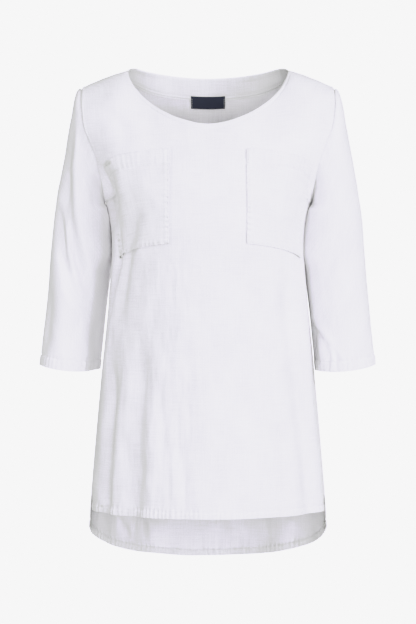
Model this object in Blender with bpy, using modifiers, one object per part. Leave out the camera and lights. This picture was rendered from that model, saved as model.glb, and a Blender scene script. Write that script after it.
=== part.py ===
"""Tunic top: a hollow linen tunic with long set-in sleeves and two patch pockets, held as it is worn.

The named sizes are in millimetres and the finished meshes in metres. +Z is up. The origin is midway between
the shoulders at the height of the neck points. +X runs towards the wearer's left and the front faces -Y.
Left and right in names are the wearer's.
"""

import math
from collections import namedtuple
from functools import lru_cache

import bmesh
import bpy
from mathutils import Vector

MM = 0.001
OBJECT_NAME = "tunic_top"

# ---------------------------------------------------------------- cloth
PANEL_WALL = 1.5
PATCH_WALL = 1.2
LABEL_WALL = 1.0
SEAM_GAP = 0.3
ARMHOLE_GAP = 0.45
EDGE_ROW = 3.0  # from a cut edge to the last line of points inside it
WELD = 0.01

# ---------------------------------------------------------------- levels
UNDERARM_HEIGHT = -215.0
FRONT_HEM_HEIGHT = -705.0
BACK_HEM_SIDE_HEIGHT = -732.0
BACK_HEM_DROP = 69.0
BACK_HEM_ROUNDNESS = 2.2
VENT_TOP_HEIGHT = -665.0
VENT_GAPE = 5.0

# ---------------------------------------------------------------- neck and shoulders
NECK_HALF_WIDTH = 127.0
NECK_POINT_HEIGHT = -3.5
SHOULDER_HALF_WIDTH = 200.5
SHOULDER_TIP_HEIGHT = -31.5
SHOULDER_BULGE = 2.0
FRONT_NECK_DROP = 90.7
FRONT_NECK_REACH = 95.0
FRONT_NECK_ROUNDNESS = 1.7
FRONT_NECK_LEAN = 0.78
BACK_NECK_REACH = 75.0
BACK_NECK_ROUNDNESS = 1.85
BACK_NECK_DROP = 7.0
BACK_NECK_RIDGE = 8.0
NECK_SHARE = 0.64  # how far across a panel its top edge leaves the neck for the shoulder
NECK_TURN_START = 0.45
SPAN_SHARE = 0.64
SPAN_SPREAD = 0.22
SIDE_START = 0.50  # share across from which columns leave the underarm level forwards, along the armhole
MISS_START = 0.35  # share across from which columns are moved to meet the armhole
SLOPE_STEP = 8.0

# ---------------------------------------------------------------- what is sewn on
POCKET_INNER_SHARE = 0.262
POCKET_OUTER_SHARE = 0.79
FACING_DEPTH = 38.0
FACING_END_SHARE = 0.84
LABEL_SHARE = 0.115
LABEL_TOP_DEPTH = 30.0
LABEL_BOTTOM_DEPTH = 50.5

# Horizontal sections of the body, in mm: half its width, its depth in front of and behind the side seams,
# and the roundness of its superellipse (2 is an ellipse).
Section = namedtuple("Section", "height half_width front_depth back_depth roundness")
SECTIONS = (
    Section(-800, 192.5, 136, 137, 1.85),
    Section(-738, 191.0, 136, 136, 1.85),
    Section(-690, 188.0, 136, 134, 1.85),
    Section(-578, 178.8, 135, 128, 1.95),
    Section(-482, 169.8, 134, 121, 2.00),
    Section(-370, 158.5, 135, 116, 2.10),
    Section(-290, 153.0, 138, 116, 2.15),
    Section(-250, 155.5, 140, 119, 2.20),
    Section(-215, 163.0, 139, 122, 2.25),
    Section(-180, 169.0, 134, 122, 2.25),
)

# The armhole seam, from the underarm up to the shoulder tip: how far out it runs at each height, in mm.
SeamPoint = namedtuple("SeamPoint", "height reach")
FRONT_ARMHOLE = (
    SeamPoint(-215, 163.0),
    SeamPoint(-205, 164.5),
    SeamPoint(-180, 168.5),
    SeamPoint(-149, 175.5),
    SeamPoint(-126, 184.0),
    SeamPoint(-100, 194.5),
    SeamPoint(-64, 200.0),
    SeamPoint(-31.5, 200.5),
)
BACK_ARMHOLE = (
    SeamPoint(-215, 163.0),
    SeamPoint(-205, 164.5),
    SeamPoint(-180, 169.5),
    SeamPoint(-149, 178.0),
    SeamPoint(-100, 192.0),
    SeamPoint(-64, 198.5),
    SeamPoint(-31.5, 200.5),
)

# A panel of the body. facing is -1 for the front and 1 for the back.
# rise_pull and top_pull are how strongly a column of the cloth leaves the underarm level and reaches the top.
# The leans are its heading there, as (towards the other panel, up). span fills the hollow by the shoulder.
Panel = namedtuple(
    "Panel", "facing depth_column armhole armhole_depth rise_pull top_pull neck_lean shoulder_lean span folds"
)

# Folds of the body cloth. Across runs from -1 to 1 between the side seams; heights, width and depth in mm.
# A trough has a positive depth, and a ridge a negative one.
Fold = namedtuple("Fold", "across_top top across_bottom bottom bow width depth")
FRONT_FOLDS = (
    Fold(-0.560, -275, -0.820, -485, 0.020, 12, 5.5),
    Fold(-0.500, -280, -0.740, -500, 0.020, 14, -3.5),
    Fold(-0.690, -515, -0.670, -800, 0.000, 10, 7.5),
    Fold(-0.610, -525, -0.575, -800, 0.000, 12, -4.5),
    Fold(-0.440, -480, -0.440, -800, 0.045, 10, 4.5),
    Fold(-0.330, -510, -0.310, -800, 0.000, 13, -2.5),
    Fold(-0.135, -410, -0.130, -800, 0.000, 12, 1.8),
    Fold(0.585, -285, 0.775, -800, -0.012, 15, 5.0),
    Fold(0.700, -330, 0.860, -800, 0.000, 16, -3.0),
    Fold(0.330, -540, 0.360, -800, 0.000, 18, 1.5),
)
BACK_FOLDS = (
    Fold(-0.50, -330, -0.56, -900, 0.020, 15, 6.0),
    Fold(-0.33, -420, -0.36, -900, 0.000, 16, -4.0),
    Fold(-0.10, -260, -0.14, -900, 0.015, 18, 4.5),
    Fold(0.22, -480, 0.20, -900, 0.000, 16, -3.5),
    Fold(0.44, -300, 0.52, -900, -0.020, 14, 6.5),
    Fold(0.68, -380, 0.74, -900, 0.000, 15, -4.0),
    Fold(-0.74, -450, -0.78, -900, 0.000, 13, 4.0),
)
FOLD_FADE = 90.0  # length over which a fold grows from nothing at its upper end, and dies at its lower one
FOLD_SIDE_FADE = 0.10  # share across over which folds die out before the side seams
PANEL_REACH = 245.0  # length of cloth between the middle of a panel and its side seam

FRONT = Panel(
    facing=-1,
    depth_column="front_depth",
    armhole=FRONT_ARMHOLE,
    armhole_depth=58.0,
    rise_pull=150.0,
    top_pull=118.0,
    neck_lean=(0.50, 0.87),
    shoulder_lean=(0.985, 0.17),
    span=7.0,
    folds=FRONT_FOLDS,
)
BACK = Panel(
    facing=1,
    depth_column="back_depth",
    armhole=BACK_ARMHOLE,
    armhole_depth=62.0,
    rise_pull=150.0,
    top_pull=105.0,
    neck_lean=(0.42, 0.91),
    shoulder_lean=(0.985, -0.17),
    span=10.0,
    folds=BACK_FOLDS,
)

# Sections of a sleeve, square to its run, from the upper arm to the cuff, in mm. The outer end of a section
# stands tilt above its middle and the inner end as far below.
Round = namedtuple("Round", "height outer inner middle half_depth tilt sag")
SLEEVE_ROUNDS = (
    Round(-234, 242.8, 156.0, 0, 61.0, 13.0, 0.0),
    Round(-300, 250.0, 153.0, -1, 55.5, 5.0, 0.0),
    Round(-390, 257.6, 162.0, -4, 51.0, 4.5, 1.0),
    Round(-477, 266.8, 171.0, -8, 48.0, 5.0, 4.0),
)
SLEEVE_RADIUS = 50.0
SLEEVE_STEPS = (6, 3, 4, 4)
SLEEVE_PULL_TOP = 36.0
SLEEVE_PULL_UNDERARM = 16.0
UNDERARM_TURN = 0.9
SLEEVE_REST = 1.2  # the least room left between a hanging sleeve and the side of the body

# Folds of a sleeve. Angles are in degrees round it: 0 is its outer side, 90 its front, 180 its inner side.
SleeveFold = namedtuple("SleeveFold", "angle_top top angle_bottom bottom width depth")
RIGHT_SLEEVE_FOLDS = (
    SleeveFold(62, -165, 108, -372, 13, 5.0),
    SleeveFold(40, -215, 118, -385, 12, 4.5),
    SleeveFold(52, -190, 92, -330, 12, -3.0),
    SleeveFold(30, -330, 34, -420, 14, 3.0),
    SleeveFold(250, -250, 215, -360, 14, 4.0),
)
LEFT_SLEEVE_FOLDS = (
    SleeveFold(100, -240, 130, -390, 14, 3.0),
    SleeveFold(60, -120, 66, -330, 18, 2.0),
    SleeveFold(255, -230, 220, -370, 14, 4.5),
)

# Materials: base colour (linear), roughness.
LINEN = ("lilac_white_linen", (0.80, 0.79, 0.84, 1.0), 0.88)
LABEL_CLOTH = ("navy_woven_label", (0.023, 0.027, 0.050, 1.0), 0.65)


# ---------------------------------------------------------------- small maths
def smooth_step(value):
    value = min(1.0, max(0.0, value))
    return value * value * (3.0 - 2.0 * value)


def hermite(start, start_pull, end, end_pull, t):
    """Point of a cubic that leaves start along start_pull and reaches end along end_pull."""
    t2, t3 = t * t, t * t * t
    return (
        start * (2 * t3 - 3 * t2 + 1)
        + start_pull * (t3 - 2 * t2 + t)
        + end * (3 * t2 - 2 * t3)
        + end_pull * (t3 - t2)
    )


def read_smooth(keys, values, key):
    """Value, a number or a vector, at a key between those given, along a smooth curve through them all."""
    last = len(keys) - 1
    key = min(keys[last], max(keys[0], key))
    step = max(index for index in range(last) if keys[index] <= key)

    def slope(index):
        low, high = max(0, index - 1), min(last, index + 1)
        return (values[high] - values[low]) / (keys[high] - keys[low])

    span = keys[step + 1] - keys[step]
    t = (key - keys[step]) / span
    return hermite(values[step], slope(step) * span, values[step + 1], slope(step + 1) * span, t)


def evenly(curve, share, samples=120):
    """Point at a share, 0 to 1, of the length of a curve, where curve(t) is its point at t from 0 to 1."""
    points = [curve(index / samples) for index in range(samples + 1)]
    lengths = [0.0]
    for start, end in zip(points, points[1:]):
        lengths.append(lengths[-1] + (end - start).length)
    wanted = share * lengths[-1]
    step = max(index for index in range(samples) if lengths[index] <= wanted)
    part = (wanted - lengths[step]) / (lengths[step + 1] - lengths[step])
    return points[step].lerp(points[step + 1], part)


def find_rise(reached, low=0.0, high=2.0):
    """The rise at which reached(rise) turns true, by halving."""
    for _ in range(36):
        middle = 0.5 * (low + high)
        if reached(middle):
            high = middle
        else:
            low = middle
    return 0.5 * (low + high)


# ---------------------------------------------------------------- form of the body, in mm
def hem_height(panel, across):
    if panel is FRONT:
        return FRONT_HEM_HEIGHT
    reach = min(1.0, section_points(panel, across)[0].x / SECTIONS[0].half_width)
    rounded = (1.0 - reach**BACK_HEM_ROUNDNESS) ** (1.0 / BACK_HEM_ROUNDNESS)
    return BACK_HEM_SIDE_HEIGHT - BACK_HEM_DROP * rounded


@lru_cache(maxsize=None)
def section_points(panel, across):
    """Where one column of cloth crosses each section: at a share of its length, so the grain runs true."""
    points = []
    for section in SECTIONS:
        power = 2.0 / section.roundness
        depth = getattr(section, panel.depth_column)

        def quarter(t, section=section, power=power, depth=depth):
            angle = t * math.pi / 2
            x = section.half_width * math.sin(angle) ** power
            return Vector((x, depth * max(0.0, math.cos(angle)) ** power))

        points.append(evenly(quarter, abs(across)))
    return points


def body_point(panel, across, height):
    """Point of a panel below the underarm, at a height. Across runs from -1 to 1 between the side seams."""
    x, y = read_smooth([section.height for section in SECTIONS], section_points(panel, across), height)
    gape = VENT_GAPE * smooth_step((VENT_TOP_HEIGHT - height) / (VENT_TOP_HEIGHT - FRONT_HEM_HEIGHT))
    gape *= abs(across) ** 8
    if panel is FRONT:
        x -= gape
    return Vector((math.copysign(x, across), panel.facing * (y + 0.5 * gape), height))


def front_neck_edge(t):
    """Right half of the front neck edge, from its middle at t = 0 to the neck point at t = 1."""
    power = 2.0 / FRONT_NECK_ROUNDNESS
    drop = max(0.0, math.cos(t * math.pi / 2)) ** power
    x = NECK_HALF_WIDTH * math.sin(t * math.pi / 2) ** power
    return Vector((x, -FRONT_NECK_REACH * drop**FRONT_NECK_LEAN, NECK_POINT_HEIGHT - FRONT_NECK_DROP * drop))


def back_neck_edge(t):
    """Right half of the back neck edge, which rises to a low ridge behind the shoulder seam."""
    power = 2.0 / BACK_NECK_ROUNDNESS
    reach = math.sin(t * math.pi / 2) ** power
    y = BACK_NECK_REACH * max(0.0, math.cos(t * math.pi / 2)) ** power
    ridge = BACK_NECK_RIDGE * (reach**2 - reach**24)
    return Vector((NECK_HALF_WIDTH * reach, y, NECK_POINT_HEIGHT - BACK_NECK_DROP * (1.0 - reach**2) + ridge))


@lru_cache(maxsize=None)
def top_point(panel, across):
    """Point of a panel's top edge: the neck in the middle, and a shoulder seam at each end."""
    if abs(across) <= NECK_SHARE:
        edge = front_neck_edge if panel is FRONT else back_neck_edge
        point = evenly(edge, abs(across) / NECK_SHARE)
        return Vector((math.copysign(point.x, across), point.y, point.z))
    share = (abs(across) - NECK_SHARE) / (1.0 - NECK_SHARE)
    x = NECK_HALF_WIDTH + share * (SHOULDER_HALF_WIDTH - NECK_HALF_WIDTH)
    z = NECK_POINT_HEIGHT + share * (SHOULDER_TIP_HEIGHT - NECK_POINT_HEIGHT)
    z += SHOULDER_BULGE * math.sin(math.pi * share)
    return Vector((math.copysign(x, across), 0.0, z))


def armhole_point(panel, side, climb):
    """Point of the armhole seam. Climb runs from 0 at the underarm to 1 at the shoulder tip."""
    half_turn = math.pi * climb
    height = UNDERARM_HEIGHT + (SHOULDER_TIP_HEIGHT - UNDERARM_HEIGHT) * 0.5 * (1.0 - math.cos(half_turn))
    reach = read_smooth([row.height for row in panel.armhole], [row.reach for row in panel.armhole], height)
    return Vector((side * reach, panel.facing * panel.armhole_depth * math.sin(half_turn), height))


def top_pull(panel, across):
    """Direction in which a column of cloth reaches the top edge: up at mid neck, over at the shoulder."""
    turn = smooth_step((abs(across) / NECK_SHARE - NECK_TURN_START) / (1.0 - NECK_TURN_START))
    back = panel.neck_lean[0] + (panel.shoulder_lean[0] - panel.neck_lean[0]) * turn
    up = panel.neck_lean[1] + (panel.shoulder_lean[1] - panel.neck_lean[1]) * turn
    return Vector((0.0, -panel.facing * back, up)) * panel.top_pull


def upper_column(panel, across, climb):
    """Point above the underarm on one column of cloth, before the armhole's exact line is met."""
    start = body_point(panel, across, UNDERARM_HEIGHT)
    below = body_point(panel, across, UNDERARM_HEIGHT - SLOPE_STEP)
    up = (start - below).normalized() * panel.rise_pull
    forward = Vector((0.0, panel.facing * math.pi * panel.armhole_depth, 0.0))
    side_share = smooth_step((abs(across) - SIDE_START) / (1.0 - SIDE_START))
    return hermite(
        start, up.lerp(forward, side_share), top_point(panel, across), top_pull(panel, across), climb
    )


def upper_point(panel, across, climb):
    side = math.copysign(1.0, across)
    miss = armhole_point(panel, side, climb) - upper_column(panel, side, climb)
    point = upper_column(panel, across, climb)
    point += miss * smooth_step((abs(across) - MISS_START) / (1.0 - MISS_START))
    # the cloth spans the hollow between chest and arm
    span = math.exp(-(((abs(across) - SPAN_SHARE) / SPAN_SPREAD) ** 2)) * math.sin(math.pi * climb)
    point.y += panel.facing * panel.span * span
    return point


def form_point(panel, across, rise):
    """Point of a panel without folds. Rise is 0 at the hem, 1 at the underarm and 2 at the top edge."""
    if rise <= 1.0:
        hem = hem_height(panel, across)
        return body_point(panel, across, hem + (UNDERARM_HEIGHT - hem) * max(0.0, rise))
    return upper_point(panel, across, min(1.0, rise - 1.0))


def form_normal(panel, across, rise):
    """Outward direction of a panel at a point."""
    step = 0.004
    left = form_point(panel, max(-1.0, across - step), rise)
    right = form_point(panel, min(1.0, across + step), rise)
    down = form_point(panel, across, max(0.0, rise - step))
    up = form_point(panel, across, min(2.0, rise + step))
    normal = (right - left).cross(up - down).normalized()
    return normal if panel is FRONT else -normal


def fold_depth(panel, across, height):
    """How far the folds push the cloth in, in mm."""
    total = 0.0
    for fold in panel.folds:
        run = (fold.top - height) / (fold.top - fold.bottom)
        if not 0.0 < run < 1.0:
            continue
        middle = fold.across_top + (fold.across_bottom - fold.across_top) * run
        middle += fold.bow * math.sin(math.pi * run)
        growth = smooth_step((fold.top - height) / FOLD_FADE)
        growth *= smooth_step((height - fold.bottom) / FOLD_FADE)
        offset = (across - middle) * PANEL_REACH / fold.width
        total += fold.depth * growth * math.exp(-0.5 * offset * offset)
    return total * smooth_step((1.0 - abs(across)) / FOLD_SIDE_FADE)


def cloth_point(panel, across, rise):
    """Point of a panel's outer face, in metres."""
    point = form_point(panel, across, rise)
    depth = fold_depth(panel, across, point.z)
    if depth:
        point = point - form_normal(panel, across, rise) * depth
    return (point + Vector((0.0, panel.facing * 0.5 * SEAM_GAP, 0.0))) * MM


# ---------------------------------------------------------------- rows and columns of points
# Guide lines that the points of a panel follow, with the number of steps up to the next one.
# A guide row's height, in mm, falls from the middle of a panel to its sides, as the hanging cloth does.
GuideRow = namedtuple("GuideRow", "middle_height side_height steps")
FRONT_ROWS = (
    GuideRow(-278.0, -320.0, 4),  # bottom of the pockets
    GuideRow(-202.0, UNDERARM_HEIGHT, 3),  # underarm
    GuideRow(-132.5, -168.0, 4),  # top of the pockets
)
FRONT_HEM_STEPS = 14
DROOP_POWER = 2.2

# Guide rows of the back neck: how far below the top edge they lie, in mm.
NeckRow = namedtuple("NeckRow", "depth steps")
BACK_NECK_ROWS = (
    NeckRow(LABEL_BOTTOM_DEPTH, 1),
    NeckRow(FACING_DEPTH, 1),
    NeckRow(LABEL_TOP_DEPTH, 2),
)
NECK_ROW_GATHER = 0.55  # how much closer these rows lie at the armhole than at the middle
NECK_ROW_GATHER_START = 0.60
BACK_HEM_STEPS = 13
BACK_UNDERARM_STEPS = 6

# Guide columns, from the middle of a panel to its side: share across, and steps from the one before.
# On the front they shift below the underarm and at the pocket's top, where the armhole cuts into the cloth.
GuideColumn = namedtuple("GuideColumn", "share underarm_share chest_share steps")
EDGE_SHARE = 0.985
FRONT_COLUMNS = (
    GuideColumn(POCKET_INNER_SHARE, 0.252, 0.229, 3),
    GuideColumn(NECK_SHARE, 0.620, 0.670, 6),
    GuideColumn(POCKET_OUTER_SHARE, 0.745, 0.875, 2),
    GuideColumn(EDGE_SHARE, EDGE_SHARE, 0.988, 3),
    GuideColumn(1.0, 1.0, 1.0, 1),
)
BACK_COLUMNS = (
    GuideColumn(LABEL_SHARE, LABEL_SHARE, LABEL_SHARE, 1),
    GuideColumn(NECK_SHARE, NECK_SHARE, NECK_SHARE, 7),
    GuideColumn(FACING_END_SHARE, FACING_END_SHARE, FACING_END_SHARE, 2),
    GuideColumn(EDGE_SHARE, EDGE_SHARE, EDGE_SHARE, 2),
    GuideColumn(1.0, 1.0, 1.0, 1),
)


def spread(stops, steps):
    """Values that run through the stops, with a number of equal steps before each stop but the first."""
    values = [stops[0]]
    for start, end, count in zip(stops, stops[1:], steps):
        values += [start + (end - start) * (index + 1) / count for index in range(count)]
    return values


def both_sides(half):
    return [-share for share in reversed(half[1:])] + half


def panel_columns(guides, row=0):
    """Shares across of a panel's columns at one of its rows."""
    underarm = FRONT_HEM_STEPS + FRONT_ROWS[0].steps
    pocket_top = underarm + FRONT_ROWS[1].steps
    rows = (FRONT_HEM_STEPS, underarm - 1, pocket_top, pocket_top + FRONT_ROWS[2].steps)
    stops = [0.0]
    for guide in guides:
        shares = (guide.share, guide.underarm_share, guide.chest_share, guide.share)
        step = max(index for index in range(len(rows) - 1) if index == 0 or rows[index] <= row)
        part = min(1.0, max(0.0, (row - rows[step]) / (rows[step + 1] - rows[step])))
        stops.append(shares[step] + (shares[step + 1] - shares[step]) * part)
    return both_sides(spread(stops, [guide.steps for guide in guides]))


def edge_row_rise(panel, across):
    """Rise of the row that runs EDGE_ROW below the top edge."""
    top = form_point(panel, across, 2.0)
    return find_rise(lambda rise: (form_point(panel, across, rise) - top).length <= EDGE_ROW, 1.0, 2.0)


@lru_cache(maxsize=None)
def front_rises(across):
    stops = [0.0]
    for guide in FRONT_ROWS:
        height = guide.middle_height + (guide.side_height - guide.middle_height) * abs(across) ** DROOP_POWER
        stops.append(find_rise(lambda rise: form_point(FRONT, across, rise).z >= height))
    stops += [edge_row_rise(FRONT, across), 2.0]
    return spread(stops, [FRONT_HEM_STEPS] + [guide.steps for guide in FRONT_ROWS] + [1])


@lru_cache(maxsize=None)
def back_rises(across):
    top = form_point(BACK, across, 2.0)
    stops = [0.0, 1.0]
    for guide in BACK_NECK_ROWS:
        # towards the armhole these rows gather under the shoulder seam
        gather = smooth_step((abs(across) - NECK_ROW_GATHER_START) / (1.0 - NECK_ROW_GATHER_START))
        depth = guide.depth * (1.0 - NECK_ROW_GATHER * gather)
        stops.append(
            find_rise(lambda rise: (form_point(BACK, across, rise) - top).length <= depth, 1.0, 2.0)
        )
    stops += [edge_row_rise(BACK, across), 2.0]
    neck_steps = [guide.steps for guide in BACK_NECK_ROWS]
    return spread(stops, [BACK_HEM_STEPS, BACK_UNDERARM_STEPS] + neck_steps + [1])


# ---------------------------------------------------------------- meshes
def new_material(name, colour, roughness):
    material = bpy.data.materials.new(name)
    material.use_nodes = True
    material.diffuse_color = colour
    shader = material.node_tree.nodes["Principled BSDF"]
    shader.inputs["Base Color"].default_value = colour
    shader.inputs["Roughness"].default_value = roughness
    shader.inputs["Metallic"].default_value = 0.0
    return material


def cloth_grid(columns, rows, mirrored):
    """A flat grid of columns by rows of points, and its vertices by (column, row).

    Its squares are split along one diagonal, and the first mirrored columns of them along the other.
    """
    mesh = bmesh.new()
    bmesh.ops.create_grid(mesh, x_segments=columns - 1, y_segments=rows - 1, size=0.5)
    vertices = {}
    for vertex in mesh.verts:
        column = round((vertex.co.x + 0.5) * (columns - 1))
        row = round((vertex.co.y + 0.5) * (rows - 1))
        vertices[column, row] = vertex
    limit = mirrored / (columns - 1) - 0.5
    near = [square for square in mesh.faces if square.calc_center_median().x < limit]
    far = [square for square in mesh.faces if square.calc_center_median().x > limit]
    bmesh.ops.triangulate(mesh, faces=near, quad_method="ALTERNATE")
    bmesh.ops.triangulate(mesh, faces=far, quad_method="FIXED")
    return mesh, vertices


def add_cloth(collection, name, mesh, material, wall):
    """Makes an object of an open sheet whose outer face is the mesh, thickened inwards to a closed wall."""
    data = bpy.data.meshes.new(name)
    mesh.to_mesh(data)
    mesh.free()
    data.materials.append(material)
    data.shade_smooth()
    cloth = bpy.data.objects.new(name, data)
    collection.objects.link(cloth)
    solidify = cloth.modifiers.new("wall", "SOLIDIFY")
    solidify.thickness = wall * MM
    solidify.offset = -1.0
    return cloth


# A finished face of cloth, kept so that what lies on it can be made from its points.
Face = namedtuple("Face", "columns row_count points normals")


def panel_face(panel, guides, rises_at):
    """Works out a panel's points and their outward directions, by (column, row)."""
    columns = panel_columns(guides)
    row_count = len(rises_at(0.0))
    mesh, vertices = cloth_grid(len(columns), row_count, len(columns) // 2)
    for row in range(row_count):
        for column, across in enumerate(panel_columns(guides, row)):
            vertices[column, row].co = cloth_point(panel, across, rises_at(across)[row])
    mesh.normal_update()
    outward = 1.0 if panel is FRONT else -1.0
    points = {place: vertex.co.copy() for place, vertex in vertices.items()}
    normals = {place: vertex.normal * outward for place, vertex in vertices.items()}
    mesh.free()
    return Face(columns, row_count, points, normals)


def patch_mesh(face, columns, rows, lift, reverse):
    """A sheet over a block of a face's points, lifted off them along their outward directions."""
    middle = len(face.columns) // 2
    mirrored = sum(1 for column in columns[:-1] if column < middle)
    mesh, vertices = cloth_grid(len(columns), len(rows), mirrored)
    for (column, row), vertex in vertices.items():
        place = columns[column], rows[row]
        vertex.co = face.points[place] + face.normals[place] * lift * MM
    if reverse:
        bmesh.ops.reverse_faces(mesh, faces=mesh.faces[:])
    return mesh


def block(face, low_share, high_share):
    """Numbers of the columns between two shares across a face."""
    slack = 1e-6
    return [
        number
        for number, across in enumerate(face.columns)
        if low_share - slack <= across <= high_share + slack
    ]


def make_panels(collection, linen):
    front = panel_face(FRONT, FRONT_COLUMNS, front_rises)
    back = panel_face(BACK, BACK_COLUMNS, back_rises)
    for name, face, reverse in (("front_panel", front, False), ("back_panel", back, True)):
        mesh = patch_mesh(face, range(len(face.columns)), range(face.row_count), 0.0, reverse)
        add_cloth(collection, name, mesh, linen, PANEL_WALL)
    return front, back


def make_pockets(collection, linen, front):
    first_row = FRONT_HEM_STEPS
    last_row = first_row + FRONT_ROWS[0].steps + FRONT_ROWS[1].steps
    rows = range(first_row, last_row + 1)
    for name, low, high in (
        ("pocket_left", POCKET_INNER_SHARE, POCKET_OUTER_SHARE),
        ("pocket_right", -POCKET_OUTER_SHARE, -POCKET_INNER_SHARE),
    ):
        mesh = patch_mesh(front, block(front, low, high), rows, SEAM_GAP + PATCH_WALL, False)
        add_cloth(collection, name, mesh, linen, PATCH_WALL)


def make_neck_pieces(collection, linen, label_cloth, back):
    label_row = BACK_HEM_STEPS + BACK_UNDERARM_STEPS
    facing_row = label_row + BACK_NECK_ROWS[0].steps
    label_top_row = facing_row + BACK_NECK_ROWS[1].steps
    last_row = back.row_count - 1
    inside = -(PANEL_WALL + SEAM_GAP)
    mesh = patch_mesh(
        back,
        block(back, -FACING_END_SHARE, FACING_END_SHARE),
        range(facing_row, last_row + 1),
        inside - PATCH_WALL,
        False,
    )
    add_cloth(collection, "back_neck_facing", mesh, linen, PATCH_WALL)
    mesh = patch_mesh(
        back,
        block(back, -LABEL_SHARE, LABEL_SHARE),
        range(label_row, label_top_row + 1),
        inside - PATCH_WALL - SEAM_GAP - LABEL_WALL,
        False,
    )
    add_cloth(collection, "neck_label", mesh, label_cloth, LABEL_WALL)


# ---------------------------------------------------------------- sleeves
def armhole_loop(front, back, side):
    """The armhole seam, from the underarm round the front, over the shoulder and down the back."""
    loop = []
    for face, first_row in ((front, FRONT_HEM_STEPS + FRONT_ROWS[0].steps), (back, BACK_HEM_STEPS)):
        column = len(face.columns) - 1 if side > 0 else 0
        rows = range(first_row, face.row_count)
        loop.append([(face.points[column, row], face.normals[column, row]) for row in rows])
    front_seam, back_seam = loop
    back_seam.reverse()
    tip = tuple(0.5 * (a + b) for a, b in zip(front_seam[-1], back_seam[0]))
    underarm = tuple(0.5 * (a + b) for a, b in zip(front_seam[0], back_seam[-1]))
    seam = [underarm] + front_seam[1:-1] + [tip] + back_seam[1:-1] + [underarm]
    return seam, len(front_seam) - 1


def seam_directions(seam, side):
    """Direction in which the sleeve leaves the armhole at each point of its seam, square to the seam."""
    last = len(seam) - 1
    directions = []
    for index, (_, normal) in enumerate(seam):
        before = seam[index - 1 if index else last - 1][0]
        after = seam[index + 1 if index < last else 1][0]
        directions.append((normal.cross(after - before) * -side).normalized())
    return directions


def seam_angles(seam, tip_index):
    """Angle round the sleeve at each point of the seam: half a turn at the underarm, none at the shoulder."""
    lengths = [0.0]
    for (start, _), (end, _) in zip(seam, seam[1:]):
        lengths.append(lengths[-1] + (end - start).length)
    tip_length = lengths[tip_index]
    angles = []
    for length in lengths:
        if length <= tip_length:
            angles.append(math.pi * (1.0 - length / tip_length))
        else:
            angles.append(-math.pi * (length - tip_length) / (lengths[-1] - tip_length))
    return angles


def round_point(section, side, angle):
    """Point of a sleeve's section, in mm."""
    middle_x = 0.5 * (section.outer + section.inner)
    half_width = 0.5 * (section.outer - section.inner)
    x = middle_x + half_width * math.cos(angle)
    y = section.middle - section.half_depth * math.sin(angle)
    z = section.height + section.tilt * math.cos(angle) - section.sag * max(0.0, math.sin(angle)) ** 2
    return Vector((side * x, y, z))


def body_side(y, height):
    """How far out the side of the body stands at a depth and a height."""
    heights = [section.height for section in SECTIONS]
    depth_column = FRONT.depth_column if y < 0.0 else BACK.depth_column
    depth = read_smooth(heights, [getattr(section, depth_column) for section in SECTIONS], height)
    half_width = read_smooth(heights, [section.half_width for section in SECTIONS], height)
    roundness = read_smooth(heights, [section.roundness for section in SECTIONS], height)
    return half_width * (1.0 - min(1.0, abs(y) / depth) ** roundness) ** (1.0 / roundness)


def sleeve_fold_depth(folds, angle, height):
    total = 0.0
    degrees = math.degrees(angle) % 360.0
    for fold in folds:
        run = (fold.top - height) / (fold.top - fold.bottom)
        if not 0.0 < run < 1.0:
            continue
        middle = fold.angle_top + (fold.angle_bottom - fold.angle_top) * run
        offset = math.radians((degrees - middle + 180.0) % 360.0 - 180.0) * SLEEVE_RADIUS / fold.width
        total += fold.depth * math.sin(math.pi * run) * math.exp(-0.5 * offset * offset)
    return total


def sleeve_column(seam_point, direction, angle, side, folds):
    """Points of one column of a sleeve, from the armhole to the cuff, in metres."""
    start = seam_point / MM + direction * ARMHOLE_GAP
    first = start + direction * EDGE_ROW
    stops = [first] + [round_point(section, side, angle) for section in SLEEVE_ROUNDS]
    share = 0.5 * (1.0 + math.cos(angle))
    reach = SLEEVE_PULL_UNDERARM + (SLEEVE_PULL_TOP - SLEEVE_PULL_UNDERARM) * share
    last = len(stops) - 1
    # at the underarm the cloth folds over, out and down
    headings = [direction.lerp(Vector((side, 0.0, 0.0)), UNDERARM_TURN * (1.0 - share) ** 4).normalized()]
    for index in range(1, last + 1):
        before = (stops[index] - stops[index - 1]).normalized()
        after = (stops[min(last, index + 1)] - stops[index]).normalized() if index < last else before
        headings.append((before + after).normalized())
    points = [start, first]
    for index in range(last):
        span = (stops[index + 1] - stops[index]).length
        start_pull = headings[index] * (reach if index == 0 else span)
        end_pull = headings[index + 1] * span
        for step in range(SLEEVE_STEPS[index]):
            t = (step + 1) / SLEEVE_STEPS[index]
            point = hermite(stops[index], start_pull, stops[index + 1], end_pull, t)
            outward = Vector((side * math.cos(angle), -math.sin(angle), 0.0))
            point = point - outward * sleeve_fold_depth(folds, angle, point.z)
            if point.z < UNDERARM_HEIGHT:
                point.x = side * max(side * point.x, body_side(point.y, point.z) + SLEEVE_REST)
            points.append(point)
    return [point * MM for point in points]


def make_sleeve(collection, linen, name, side, folds, front, back):
    seam, tip_index = armhole_loop(front, back, side)
    directions = seam_directions(seam, side)
    angles = seam_angles(seam, tip_index)
    columns = [
        sleeve_column(point, direction, angle, side, folds)
        for (point, _), direction, angle in zip(seam, directions, angles)
    ]
    mirrored = len(columns) - 1 if side < 0 else 0
    mesh, vertices = cloth_grid(len(columns), len(columns[0]), mirrored)
    for (column, row), vertex in vertices.items():
        vertex.co = columns[column][row]
    bmesh.ops.remove_doubles(mesh, verts=mesh.verts[:], dist=WELD * MM)
    if side > 0:
        bmesh.ops.reverse_faces(mesh, faces=mesh.faces[:])
    add_cloth(collection, name, mesh, linen, PANEL_WALL)


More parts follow.
